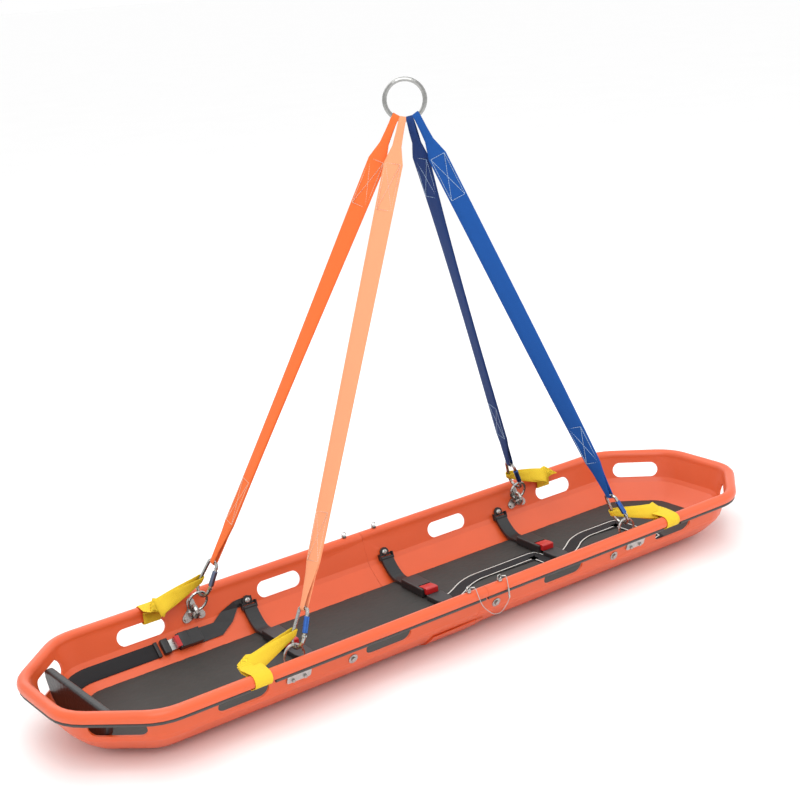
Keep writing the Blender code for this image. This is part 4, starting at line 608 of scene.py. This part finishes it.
def metal(name, colour, roughness):
    """Plated steel with fine wear."""
    material = shader(name, colour, roughness, metallic=1.0)
    wear = noise(material, scale=160.0, detail=5.0)
    tint(material, wear, 0.35, 0.70, (scaled(colour, 0.80), colour))
    vary_roughness(material, noise(material, scale=90.0, detail=4.0), roughness * 0.7, roughness * 1.3)
    bump(material, wear, strength=0.08, distance=0.0003)
    return material


def hard_plastic(name, colour, roughness):
    material = shader(name, colour, roughness)
    tint(material, noise(material, scale=30.0), 0.3, 0.75, (scaled(colour, 0.8), colour))
    bump(material, noise(material, scale=700.0, detail=2.0), strength=0.25, distance=0.0003)
    return material


def coated_fabric(name, colour, roughness):
    """Dark vinyl-coated cloth: fine leather grain over soft waves."""
    material = shader(name, colour, roughness, specular=0.35)
    shades = (scaled(colour, 0.86), scaled(colour, 1.06))
    tint(material, noise(material, scale=9.0, detail=4.0), 0.30, 0.75, shades)
    grain = add_node(material, "ShaderNodeTexVoronoi", Vector=own_place(material), Scale=520.0)
    first = bump(material, grain.outputs["Distance"], strength=0.18, distance=0.0004)
    bump(material, noise(material, scale=24.0), strength=0.22, distance=0.0030, Normal=first)
    return material


def band_part(material, axis):
    """The distance along a band, or across it, in metres."""
    attribute = add_node(material, "ShaderNodeAttribute")
    attribute.attribute_name = "band"
    return add_node(material, "ShaderNodeSeparateXYZ", Vector=attribute.outputs["Vector"]).outputs[axis]


def arithmetic(owner, operation, first, second=None):
    node = add_node(owner, "ShaderNodeMath")
    node.operation = operation
    for socket, value in zip(node.inputs, (first, second)):
        if value is not None:
            feed(owner, socket, value)
    return node.outputs[0]


def woven(name, colour, edge_line=None):
    """Webbing with chevron ribs along the band; edge_line is (middle, half width, colour)."""
    material = shader(name, colour, 0.78, specular=0.3)

    def maths(operation, first, second=None):
        return arithmetic(material, operation, first, second)

    along = maths("MULTIPLY", band_part(material, "X"), 2 * pi / PICK_PITCH)
    across = band_part(material, "Y")
    rib = maths("SINE", maths("MULTIPLY", across, 2 * pi / RIB_PITCH))
    slant = maths("ABSOLUTE", maths("SINE", maths("MULTIPLY", across, pi / CHEVRON_PITCH)))
    pick = maths("SINE", maths("ADD", along, maths("MULTIPLY", slant, CHEVRON_LEAD)))
    weave = maths("ADD", maths("MULTIPLY", rib, 0.5), pick)
    node = add_node(material, "ShaderNodeMapRange", From_Min=-1.5, From_Max=1.5, Value=weave)
    shade = node.outputs["Result"]
    colours = ramp(material, shade, 0.1, 0.8, (scaled(colour, 0.62), scaled(colour, 1.1)))
    if edge_line is not None:
        middle, half, line_colour = edge_line
        offset = maths("ABSOLUTE", maths("SUBTRACT", maths("ABSOLUTE", across), middle))
        mix = add_node(material, "ShaderNodeMix")
        mix.data_type = "RGBA"
        for number, value in ((0, maths("LESS_THAN", offset, half)), (6, colours), (7, (*line_colour, 1))):
            feed(material, mix.inputs[number], value)
        colours = mix.outputs[2]
    surface(material, "Base Color", colours)
    bump(material, shade, strength=0.5, distance=0.0004)
    return material


def plain_thread(name, colour):
    material = shader(name, colour, 0.7, specular=0.3)
    twist = noise(material, scale=2500.0, detail=1.0)
    tint(material, twist, 0.3, 0.7, (scaled(colour, 0.7), colour))
    bump(material, twist, strength=0.4, distance=0.0002)
    return material


def dress(names, material):
    for name in names:
        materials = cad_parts[name].data.materials
        materials.clear()
        materials.append(material)


# Making pieces

def add_object(name, data):
    body = bpy.data.objects.new(name, data)
    bpy.context.scene.collection.objects.link(body)
    return body


def add_piece(name, data, material):
    """A mesh or curve as a piece in the scene, in one material."""
    data.materials.clear()
    data.materials.append(material)
    return add_object(name, data)


def built(name, bm, material, sharp=None):
    """The piece that a bmesh holds, smooth but for edges sharper than the given angle."""
    bmesh.ops.recalc_face_normals(bm, faces=bm.faces)
    mesh = bpy.data.meshes.new(name)
    bm.to_mesh(mesh)
    bm.free()
    mesh.shade_smooth()
    if sharp is not None:
        mesh.set_sharp_from_angle(angle=sharp)
    return add_piece(name, mesh, material)


def copy_of(node, name, material):
    """A copy of a CAD piece's mesh."""
    return add_piece(name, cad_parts[node].data.copy(), material)


def bake(body):
    """Makes the modifiers part of the mesh."""
    depsgraph = bpy.context.evaluated_depsgraph_get()
    fine = bpy.data.meshes.new_from_object(body.evaluated_get(depsgraph))
    body.modifiers.clear()
    body.data = fine


def fix(body, node=None):
    """Fixes a piece to the basket, in place of a CAD node where one is named."""
    if node is not None:
        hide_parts(node)
    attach(body, "basket")
    return body


def close_ends(bm, first, last):
    bm.faces.new(list(reversed(first)))
    bm.faces.new(last)


def round_lines(name, paths, radius, material):
    """Round lines with closed ends through the points of each path."""
    curve = bpy.data.curves.new(name, "CURVE")
    curve.dimensions = "3D"
    curve.bevel_depth = radius
    curve.bevel_resolution = 2
    curve.use_fill_caps = True
    for path in paths:
        spline = curve.splines.new("POLY")
        spline.points.add(len(path) - 1)
        for target, point in zip(spline.points, path):
            target.co = (*point, 1)
    return add_piece(name, curve, material)


def rounded_box(name, low, high, place, rounding, material, node=None):
    """A block with rounded edges, fixed to the basket."""
    bm = bmesh.new()
    size = Vector(high) - Vector(low)
    centre = (Vector(high) + Vector(low)) / 2
    matrix = place @ Matrix.Translation(centre) @ Matrix.Diagonal((*size, 1))
    bmesh.ops.create_cube(bm, size=1, matrix=matrix)
    bmesh.ops.bevel(bm, geom=bm.edges[:], offset=rounding, segments=3, affect="EDGES", profile=0.5)
    return fix(built(name, bm, material), node)


def turned_set(name, profile, places, material):
    """The same turned form at every place, as one piece fixed to the basket."""
    bm = bmesh.new()
    turns = [2 * pi * i / TURNED_STEPS for i in range(TURNED_STEPS)]
    for place in places:
        rings = []
        for radius, height in profile:
            points = [(radius * cos(turn), radius * sin(turn), height) for turn in turns]
            rings.append([bm.verts.new(place @ Vector(point)) for point in points])
        for before, after in zip(rings, rings[1:]):
            join_rings(bm, before, after)
        close_ends(bm, rings[0], rings[-1])
    return fix(built(name, bm, material, TURNED_SHARP))


# Webbing bands

def section(width, thickness):
    """Corner offsets of a band with rounded selvedges, across and along its normal."""
    half = width / 2
    edge = thickness * 0.45
    rise = thickness / 2
    flat = [half - edge, half / 3, -half / 3, -half + edge]
    top = [(y, rise) for y in flat]
    low = [(y, -rise) for y in reversed(flat)]
    lip = rise * 0.35
    return top + [(-half, lip), (-half, -lip)] + low + [(half, -lip), (half, lip)]


def dense(stations, length):
    """More stations on the same line, so that twists run smooth."""
    result = []
    for first, second in zip(stations, stations[1:]):
        count = max(1, int((second[0] - first[0]).length / length))
        result += [part_way(first, second, i / count) for i in range(count)]
    result.append(stations[-1])
    return result


def band(name, stations, thickness, material, closed=False):
    """A woven band whose points know their distance along and across it."""
    if closed:
        stations = list(stations) + [stations[0]]
    stations = dense(stations, BAND_STEP)
    last = len(stations) - 1
    bm = bmesh.new()
    mark = bm.verts.layers.float_vector.new("band")
    rings = []
    run = 0.0
    for i, (point, across, width) in enumerate(stations):
        before = stations[-2][0] if closed and i == 0 else stations[max(i - 1, 0)][0]
        after = stations[1][0] if closed and i == last else stations[min(i + 1, last)][0]
        along = (after - before).normalized()
        across = (across - along * across.dot(along)).normalized()
        normal = along.cross(across)
        if i:
            run += (point - stations[i - 1][0]).length
        ring = []
        for y, z in section(width, thickness):
            vertex = bm.verts.new(point + across * y + normal * z)
            vertex[mark] = (run, y, 0.0)
            ring.append(vertex)
        rings.append(ring)
    for ring, following in zip(rings, rings[1:]):
        join_rings(bm, ring, following)
    if not closed:
        close_ends(bm, rings[0], rings[-1])
    return built(name, bm, material, BAND_SHARP)


def stitches(name, lines, material):
    """Short raised threads along lines; a line is (start, end, outward)."""
    bm = bmesh.new()
    for start, end, outward in lines:
        run = end - start
        count = max(1, round(run.length / STITCH_PITCH))
        step = run / count
        side = step.cross(outward).normalized() * THREAD_RADIUS
        rise = outward * THREAD_RADIUS
        for i in range(count):
            middle = start + step * (i + 0.5)
            rings = []
            for place, height in STITCH_PROFILE:
                point = middle + step * STITCH_SHARE / 2 * place
                corners = (point + side, point + rise * height, point - side)
                rings.append([bm.verts.new(corner) for corner in corners])
            for before, after in zip(rings, rings[1:]):
                join_rings(bm, before, after)
            close_ends(bm, rings[0], rings[-1])
    return built(name, bm, material)


def box_and_cross(centre, along, across, outward, length, width):
    """The sewn box with a cross in it, as lines."""
    a = along * length / 2
    c = across * width / 2
    corners = [centre + a + c, centre + a - c, centre - a - c, centre - a + c]
    lines = [(corners[i], corners[(i + 1) % 4], outward) for i in range(4)]
    lines += [(corners[0], corners[2], outward), (corners[1], corners[3], outward)]
    return lines


# Sling

def leg_across(line, share):
    """The leg's width direction at a share of its length; the webbing twists between its ends."""
    pull = line["pull"]
    across = line["gate_side"].lerp(line["tangent"], share)
    across = (across - pull * across.dot(pull)).normalized()
    low, high = LEG_TWISTS[line["name"]]
    twist = radians(low + (high - low) * share) * sqrt(max(0.0, sin(pi * share)))
    return Matrix.Rotation(twist, 3, pull) @ across


def leg_stations(line):
    pull = line["pull"]
    low = line["bow"] + pull * CROWN_Z
    high = line["top"]
    length = (high - low).length
    low_turn = HOOK_WIRE + REST_GAP + LEG_THICKNESS / 2
    high_turn = LIFT_WIRE + LIFT_CLEARANCE + LEG_THICKNESS / 2
    plan = leg_plan(length, low_turn, high_turn)
    place, spread, width = plan[-1]
    plan[-1] = (place, spread, width + CROWN_GAIN)
    stations = []
    for flank in (1, -1):
        for place, spread, width in plan if flank > 0 else reversed(plan):
            across = leg_across(line, place / length)
            stations.append((low + pull * place + across.cross(pull) * spread * flank, across, width))
        if flank > 0:
            stations += wrap(high, line["tangent"], pull, high_turn, LEG_CROWN_WIDTH + CROWN_GAIN, 12)
        else:
            stations += wrap(low, line["gate_side"], -pull, low_turn, LEG_CROWN_WIDTH, 12)
    return stations


def leg_seams(line):
    """Sewn boxes near both ends, on both faces of the leg."""
    pull = line["pull"]
    low = line["bow"] + pull * CROWN_Z
    length = (line["top"] - low).length
    lift = LEG_THICKNESS + LEG_PLY_GAP / 2 + SEAM_LIFT
    lines = []
    for place in (LEG_EYE_LENGTH + SEAM_LENGTH / 2, length - LEG_EYE_LENGTH - SEAM_LENGTH / 2):
        across = leg_across(line, place / length)
        for face in (1, -1):
            outward = across.cross(pull) * face
            centre = low + pull * place + outward * lift
            lines += box_and_cross(centre, pull, across, outward, SEAM_LENGTH, LEG_WIDTH * SEAM_WIDTH_SHARE)
    return lines


def sling(threads):
    for line in chains():
        name = line["name"]
        end = "foot" if line["end"] < 0 else "head"
        webbing = woven(f"leg_webbing_{name}", LEG_COLOURS_AND_LIGHT[name])
        leg = band(f"sling_leg_webbing_{name}", leg_stations(line), LEG_THICKNESS, webbing, closed=True)
        fix(leg, f"sling_leg_{name}")
        fix(stitches(f"sling_leg_seams_{name}", leg_seams(line), threads[end]))


def loop_stations(line):
    """Over the rim and through the hand hole, then up to the carabiner's wire and back."""
    side = line["side"]
    hook = frame(line["bow"], line["gate_side"], line["pull"])
    spine = Vector((sin(NOSE_ANGLE), 0, cos(NOSE_ANGLE)))
    wire = hook @ (Vector((-BOW_RADIUS, 0, BOW_RADIUS)) + spine * LOOP_SPINE_PLACE)
    across_hook = hook.to_3x3() @ spine
    stations = [(point, across, width * LOOP_WIDENING)
                for point, across, width in loop_rim_stations(line["end"] * LOOP_X, side)]
    fold = Vector((line["end"] * LOOP_X, side * LOOP_FOLD_Y, LOOP_FOLD_Z))
    toward = (wire - fold).normalized()
    level = stations[0][1]
    across_near = toward.cross(Vector(LOOP_FACE)).normalized()
    face = across_near.cross(toward)
    if face.z < 0:
        face = -face
    if across_near.dot(level) < 0:
        across_near = -across_near
    if across_hook.dot(across_near) < 0:
        across_hook = -across_hook
    turn_radius = HOOK_WIRE + LOOP_HOOK_CLEARANCE + LOOP_THICKNESS / 2
    loop = wrap(wire, across_hook, toward, turn_radius, LOOP_HOOK_WIDTH * LOOP_WIDENING, 10)

    def strand(height):
        near = fold + toward * LOOP_FOLD_RUN + face * height
        return [(fold + UP * height, level, LOOP_WIDTH * LOOP_FOLD_WIDENING),
                (near, across_near, LOOP_WIDTH * LOOP_NEAR_WIDENING)]

    out = strand(-LOOP_SPREAD)
    back = strand(LOOP_SPREAD)
    return (stations + out + between(out[1], loop[0], 6) + loop
            + between(loop[-1], back[1], 6) + back[::-1])


def edge_loops(material):
    for line in chains():
        name = line["name"]
        loop = band(f"edge_loop_webbing_{name}", loop_stations(line), LOOP_THICKNESS, material, closed=True)
        fix(loop, f"edge_loop_{name}")


# Belts

def strap_stations(x, bends, fold_x, out_y, back_y, back_route):
    """From the tongue along the mattress, folded back over itself, and up the front wall to its stud."""
    height = bench() + STRAP_THICKNESS / 2

    def flat(px, py):
        return Vector((px, py, height)), UP

    out = soften(strap_start(x) + [flat(x + run, py) for run, py in bends], 4)
    fold = [flat(fold_x, out_y), flat(fold_x, (out_y + back_y) / 2), flat(fold_x, back_y)]
    edge = flat(x, MATTRESS_INSET + STRAP_LEDGE - WIDTH / 2)
    back = soften([flat(px, py) for px, py in back_route] + [edge], 4) + front_hull_route(x)
    first = len(out)
    return mitred(out + fold + back, STRAP_WIDTH, (first, first + 2))


def belts(material):
    """The straps of belts 2 and 3."""
    for number, bends, fold_x, out_y, back_y, back_route in (
            (2, [(0.060, -0.014), (0.100, 0.008), (0.145, 0.021), (0.190, 0.022)], 0.415, 0.022, -0.066,
             [(0.300, -0.066), (0.210, -0.066), (0.150, -0.072), (0.100, -0.094), (0.069, -0.128)]),
            (3, [(0.060, -0.012), (0.100, 0.014), (0.145, 0.029), (0.185, 0.030)], 0.740, 0.030, -0.118,
             [(0.640, -0.118), (0.560, -0.116), (0.513, -0.124), (0.480, -0.142)])):
        stations = strap_stations(BELT_X[number - 1], bends, fold_x, out_y, back_y, back_route)
        strap = band(f"belt_webbing_{number}", stations, STRAP_THICKNESS, material)
        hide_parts(f"belt_strap_{number}")
        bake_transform(strap)


def lanyard(material, steel):
    """The wire rope between the front pins' eyes, with a ferrule at each end and its clip."""
    over = -(WIDTH / 2 + 0.0030)
    inner = -(WIDTH / 2 - 0.010)
    eye_y = -rim_middle()
    eye_rise = PIN_HEAD_HEIGHT + PIN_EYE_RADIUS
    near = PIN_EYE_RADIUS + PIN_EYE_WIRE + REST_GAP
    route = [Vector((x, y, HEIGHT + rise)) for x, y, rise in (
        (-PIN_X + near, eye_y, eye_rise), (-PIN_X + 0.015, over + 0.010, 0.008), (-0.034, over, -0.010),
        (-0.022, over, -0.040), (0.002, over, -0.066), (0.030, inner, -0.082), (0.050, inner, -0.080),
        (0.064, over, -0.046), (0.062, over, -0.014), (PIN_X + 0.015, over + 0.010, 0.008),
        (PIN_X + near, eye_y, eye_rise))]
    points = smooth_path(route, LANYARD_STEPS)
    body = round_lines("pin_lanyard_wire", [points], LANYARD_RADIUS, material)
    fix(body, "pin_lanyard")
    places = []
    for first, second in ((0, 2), (-1, -3)):
        run = (points[second] - points[first]).normalized()
        places.append(frame(points[first] + run * FERRULE_PLACE, run.orthogonal(), run))
    ferrules = turned_set("lanyard_ferrules", FERRULE, places, steel)
    clip_low, clip_high = route[7:9]
    run = clip_high - clip_low
    place = frame(clip_low, run.orthogonal(), run)
    clip = turned_set("lanyard_clip", CLIP, [place], steel)


# Foot belt

def foot_tail(material):
    """The free end from the slide along the slope, which bends with the basket towards the foot."""
    height = REST_GAP + STRAP_THICKNESS / 2
    half = FOOT_BELT_WIDTH / 2
    edges = []
    for x in TAIL_X:
        place = slope_frame(x)
        edges.append((place @ Vector((0, half, height)), place @ Vector((0, -half, height))))
    high, low = edges[-1]
    high_plan = quarter_outline(-1, WIDTH / 2 - high.y, 0.001)
    low_plan = quarter_outline(-1, WIDTH / 2 - low.y, 0.001)
    last = CORNER_STEPS + 1
    share = FOOT_TAIL_RUN / (high_plan[last + 1] - high_plan[last]).length
    for plan in (high_plan, low_plan):
        plan[last + 1] = plan[last].lerp(plan[last + 1], share)
    for high_point, low_point in list(zip(high_plan, low_plan))[1:last + 2]:
        edges.append((Vector((*high_point, high.z)), Vector((*low_point, low.z))))
    tail = band("foot_belt_tail_webbing", edge_stations(edges), STRAP_THICKNESS, material)
    fix(tail, "foot_belt_tail")


def foot_buckle(black, steel):
    """The hood over the red button, the steel blade, and the tongue's housing with its slide."""
    place = slope_frame(FOOT_BUCKLE_X)
    half = FOOT_BUCKLE_WIDTH / 2
    end = -FOOT_BUCKLE_LENGTH / 2
    front = end - FOOT_BUTTON_PROUD - FOOT_BUTTON_TRAVEL - 0.001
    back = front - FOOT_TONGUE_LENGTH
    low = FOOT_BUCKLE_LIFT
    rounded_box("foot_belt_hood", (end + RED_SHOWING, -half, FOOT_BUCKLE_TOP - 0.004),
                (end + FOOT_BUTTON_REACH + 0.010, half, FOOT_BUCKLE_TOP + 0.0022),
                place, 0.0018, black)
    rounded_box("foot_belt_tongue_housing", (back, -half, low),
                (front - BLADE_SHOWING, half, low + FOOT_TONGUE_HEIGHT + 0.003),
                place, 0.0030, black, "foot_belt_tongue")
    rounded_box("foot_belt_blade", (front - BLADE_SHOWING - 0.002, -half + 0.005, low + 0.005),
                (end + 0.010, half - 0.005, low + 0.0075),
                place, 0.0008, steel, "foot_belt_tongue")
    rounded_box("foot_belt_slide", (back - 0.016, -half - 0.001, low),
                (back - 0.006, half + 0.001, low + 0.0075),
                place, 0.0020, black, "foot_belt_tongue")


# Screws and the painted shadow under the rim

def stud_metal(steel):
    """Domed screw heads inside; washers with nuts outside."""
    back = [station_wall(x) for x in BELT_X]
    front = [wall_frame(x, STUD_Z, -1) for x in BELT_X]
    for name, shank, (radius, thickness), places in (
            ("belt_screw_heads", TAB_SHANK, STUD_HEAD, back),
            ("strap_screw_heads", STRAP_SHANK, STUD_WASHER, front)):
        radius += HEAD_GAIN
        dome = [(radius, shank - 0.0002)]
        dome += [(radius * share, shank + thickness + rise) for share, rise in HEAD_DOME]
        turned_set(name, dome, places, steel)
    outer = -WALL - STUD_WASHER_THICKNESS
    low = outer - STUD_NUT_THICKNESS
    washer = [(WASHER_RADIUS, -WALL), (WASHER_RADIUS, outer - 0.0004),
              (STUD_NUT_RADIUS + 0.0024, outer - 0.0010), (STUD_NUT_RADIUS + HEAD_GAIN, outer - 0.0010),
              (STUD_NUT_RADIUS + HEAD_GAIN, low), (STUD_NUT_RADIUS * 0.7, low - 0.0006)]
    turned_set("belt_washers_and_nuts", washer, back + front, steel)


def painted_rim_shadow(material):
    """Painted shade: a dark bead laid in the shadow line under the rolled rim, open where the edge loops and
    the joint are.
    """
    outline = quarter_outline(1, SHADOW_BEAD_INSET, SHADOW_BEAD_BREAK)
    side_y = outline[-1].y
    outer = outline[:-1] + [Vector((LOOP_X + SHADOW_BEAD_BREAK, side_y))]
    inner = [Vector((LOOP_X - SHADOW_BEAD_BREAK, side_y)), Vector((JOINT_BREAK, side_y))]
    around = [Vector((p.x, -p.y)) for p in reversed(outer)] + outer[1:]
    plans = (around, inner, [Vector((p.x, -p.y)) for p in inner])
    paths = [[(end * p.x, p.y, SHADOW_BEAD_Z) for p in plan] for end in (-1, 1) for plan in plans]
    fix(round_lines("rim_shadow_bead", paths, SHADOW_BEAD_RADIUS, material))


# Shells

def hole_frames(end):
    """The hand holes of one half, on the inner skin."""
    places = []
    for side in (-1, 1):
        places += [wall_frame(end * x, HOLE_Z, side) for x in HOLE_X]
        places.append(taper_frame(end, side, HOLE_Z))
    return places


def crisp_knee(mesh):
    """The level edges where the slope turns into the wall stay crisp."""
    for edge in mesh.edges:
        first, second = (mesh.vertices[i].co for i in edge.vertices)
        if abs(first.z - second.z) < KNEE_LEVEL and KNEE_SEARCH[0] < first.z < KNEE_SEARCH[1]:
            edge.use_edge_sharp = True


def lug_plates(material):
    """The lug plates at their photographed size: inside the basket they grow about the eye."""
    for name, end, side in corner_items():
        body = copy_of(f"lug_plate_{name}", f"lug_plate_full_{name}", material)
        place = wall_frame(end * LUG_X, LUG_Z, side)
        body.data.transform(place.inverted())
        for vertex in body.data.vertices:
            if vertex.co.z > -WALL / 2:
                vertex.co.x *= LUG_GROWTH
                vertex.co.y *= LUG_GROWTH
        body.data.transform(place)
        fix(body, f"lug_plate_{name}")


def hole_cutter(end, material):
    """Blocks with rounded ends, through every hand hole of one half."""
    outline = slot_outline(HOLE_LENGTH, HOLE_HEIGHT, HOLE_ROUND_STEPS)
    bm = bmesh.new()
    for place in hole_frames(end):
        low, high = ([bm.verts.new(place @ Vector((x, y, z))) for x, y in outline]
                     for z in (-HOLE_CUT_REACH, HOLE_CUT_REACH))
        join_rings(bm, low, high)
        close_ends(bm, low, high)
    return built("cutter", bm, material)


def shells(material):
    """The CAD halves with smooth faces and finely rounded hand holes."""
    for end, node in ((-1, "foot_half_shell"), (1, "head_half_shell")):
        cutter = hole_cutter(end, material)
        body = copy_of(node, node.replace("shell", "moulding"), material)
        bm = bmesh.new()
        bm.from_mesh(body.data)
        bmesh.ops.remove_doubles(bm, verts=bm.verts, dist=WELD)
        bm.to_mesh(body.data)
        bm.free()
        cut = body.modifiers.new("cut", "BOOLEAN")
        cut.operation = "DIFFERENCE"
        cut.solver = "EXACT"
        cut.object = cutter
        bake(body)
        bpy.data.objects.remove(cutter, do_unlink=True)
        body.data.shade_smooth()
        body.data.set_sharp_from_angle(angle=SHELL_SHARP)
        crisp_knee(body.data)
        weighted = body.modifiers.new("weighted", "WEIGHTED_NORMAL")
        weighted.keep_sharp = True
        fix(body, node)


# Padded pieces

def soft_copy(name, node, material, voxel, rounding):
    """A finely meshed copy of a CAD pad."""
    body = copy_of(node, name, material)
    remesh = body.modifiers.new("remesh", "REMESH")
    remesh.mode = "VOXEL"
    remesh.voxel_size = voxel
    smooth = body.modifiers.new("round", "SMOOTH")
    smooth.factor = 0.5
    smooth.iterations = rounding
    bake(body)
    return body


def pressed(body, depth, size, floor):
    """Shallow hollows and creases, pushed in along the normals only."""
    offsets = []
    for vertex in body.data.vertices:
        point = vertex.co
        wave = field(point / size)
        place = Vector((point.x * 2.2, point.y * 9, point.z * 9)) / size * 1.6
        crease = abs(field(place + Vector((7, 3, 1))))
        give = depth * (0.5 - 0.5 * wave) + depth * 0.8 * max(0.0, 0.12 - crease) / 0.12
        if point.z < floor:
            give = 0.0
        offsets.append(vertex.normal * -give)
    for vertex, offset in zip(body.data.vertices, offsets):
        vertex.co += offset
    body.data.shade_smooth()


def thickened(body, amount, low, high):
    """The rolled top edge: the pad grows along its normals above a height."""
    for vertex in body.data.vertices:
        share = min(1.0, max(0.0, (vertex.co.z - low) / (high - low)))
        vertex.co += vertex.normal * amount * share * share


def pads(cover, rest_cover):
    voxel = MATTRESS_VOXEL
    mattress = soft_copy("mattress_pad", "mattress", cover, voxel, rounding=1)
    pressed(mattress, 0.0009, 0.16, FLOOR_LEVEL)
    fix(mattress, "mattress")
    rest = soft_copy("footrest_cushion", "footrest_pad", rest_cover, FOOTREST_VOXEL, rounding=8)
    thickened(rest, ROLL_GROWTH, ROLL_LOW, HEIGHT)
    pressed(rest, 0.0007, 0.06, 0.0)
    fix(rest, "footrest_pad")


# Studio

def sky():
    """A sky brighter above than at its sides, and plain white where the lens or a mirror sees it."""
    world = bpy.data.worlds.new("studio")
    bpy.context.scene.world = world
    world.use_nodes = True
    world.node_tree.nodes.clear()
    direction = add_node(world, "ShaderNodeTexCoord").outputs["Generated"]
    split = add_node(world, "ShaderNodeSeparateXYZ", Vector=direction)
    height = add_node(world, "ShaderNodeMapRange", To_Min=SKY_LOW, To_Max=SKY_HIGH, Value=split.outputs["Z"])
    strength = height.outputs["Result"]
    soft = add_node(world, "ShaderNodeBackground", Color=(1, 1, 1, 1), Strength=strength)
    white = add_node(world, "ShaderNodeBackground", Color=(1, 1, 1, 1), Strength=1.0)
    paths = add_node(world, "ShaderNodeLightPath").outputs
    seen = paths["Is Camera Ray"]
    for kind in ("Is Glossy Ray", "Is Transmission Ray"):
        seen = arithmetic(world, "MAXIMUM", seen, paths[kind])
    mix = add_node(world, "ShaderNodeMixShader", Fac=seen)
    feed(world, mix.inputs[1], soft.outputs[0])
    feed(world, mix.inputs[2], white.outputs[0])
    add_node(world, "ShaderNodeOutputWorld", Surface=mix.outputs[0])


def studio():
    bpy.ops.mesh.primitive_plane_add(size=FLOOR_SIZE, location=(0, 0, -0.0005))
    floor = bpy.context.object
    floor.name = "studio_floor"
    material = shader("floor_paint", (0.95, 0.95, 0.95), 0.9, specular=0.2)
    tint(material, noise(material, scale=2.0), 0.2, 0.8, ((0.945, 0.945, 0.945), (0.96, 0.96, 0.96)))
    floor.data.materials.append(material)
    for name, place, size, power, target in LAMPS:
        lamp = bpy.data.lights.new(name, "AREA")
        lamp.size = size
        lamp.energy = power
        body = add_object(name, lamp)
        body.location = place
        body.rotation_euler = (Vector(target) - Vector(place)).to_track_quat("-Z", "Y").to_euler()
    sky()
    bpy.context.scene.view_settings.view_transform = "Standard"


def camera():
    """Where the photograph was taken from."""
    lens = bpy.data.cameras.new("camera")
    lens.sensor_width = SENSOR
    lens.lens = FOCAL_PIXELS / PICTURE * SENSOR
    lens.clip_end = 60
    body = add_object("camera", lens)
    body.matrix_world = (Matrix.Translation(CAMERA_PLACE) @ Matrix.Rotation(CAMERA_AZIMUTH, 4, "Z")
                         @ Matrix.Rotation(pi / 2 - CAMERA_ELEVATION, 4, "X")
                         @ Matrix.Rotation(CAMERA_ROLL, 4, "Z"))
    bpy.context.scene.camera = body


def finish_materials():
    """Dresses the rigid CAD pieces, and gives the steel and the black plastic that others share."""

    def named(*starts):
        return [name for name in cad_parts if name.startswith(starts)]

    dress(["lifting_ring"], metal("ring_steel", (0.36, 0.36, 0.35), 0.20))
    zinc = metal("zinc_steel", (0.47, 0.47, 0.45), 0.26)
    dress(named("carabiner", "lug_ring", "lock_pin"), zinc)
    dress(named("backing_plate"), metal("plate_steel", (0.58, 0.58, 0.57), 0.38))
    dress(["gate_sleeve_foot_back"], metal("steel_sleeve", (0.15, 0.18, 0.27), 0.30))
    dress([f"gate_sleeve_{name}" for name in ("foot_front", "head_back", "head_front")],
          metal("blue_sleeve", (0.05, 0.14, 0.46), 0.30))
    black = hard_plastic("black_buckle", (0.017, 0.017, 0.018), 0.42)
    dress(named("buckle_stalk", "foot_belt_buckle", "belt_tab"), black)
    dress(named("belt_tongue"), hard_plastic("black_tongue", (0.020, 0.020, 0.022), 0.46))
    red = hard_plastic("red_button", (0.55, 0.018, 0.020), 0.32)
    dress(named("release_button", "foot_belt_button"), red)
    return zinc, black


def main():
    camera()
    zinc, black_plastic = finish_materials()
    shells(moulded_plastic())
    # Painted shade: a dark bead for the shadow under the rolled rim
    painted_rim_shadow(hard_plastic("rim_shadow_paint", (0.060, 0.055, 0.053), 0.55))
    stud_metal(zinc)
    lug_plates(zinc)
    sling({"foot": plain_thread("orange_thread", (0.95, 0.62, 0.45)),
           "head": plain_thread("blue_thread", (0.45, 0.62, 0.85))})
    edge_loops(woven("yellow_webbing", (0.86, 0.60, 0.030)))
    belts(woven("black_webbing", (0.020, 0.020, 0.022), (0.0180, 0.0016, (0.66, 0.64, 0.60))))
    foot_tail(woven("tail_webbing", (0.020, 0.020, 0.022)))
    foot_buckle(black_plastic, zinc)
    lanyard(plain_thread("wire_rope", (0.50, 0.50, 0.48)), zinc)
    pads(coated_fabric("mattress_cover", COVER, 0.62), coated_fabric("footrest_cover", REST_COVER, 0.32))
    studio()


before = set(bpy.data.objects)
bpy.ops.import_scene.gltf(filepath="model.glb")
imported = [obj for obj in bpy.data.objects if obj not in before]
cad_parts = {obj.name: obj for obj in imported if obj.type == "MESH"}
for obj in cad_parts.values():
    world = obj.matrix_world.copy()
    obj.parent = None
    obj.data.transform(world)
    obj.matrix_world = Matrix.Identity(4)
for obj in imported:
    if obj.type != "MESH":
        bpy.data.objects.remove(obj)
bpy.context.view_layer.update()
main()
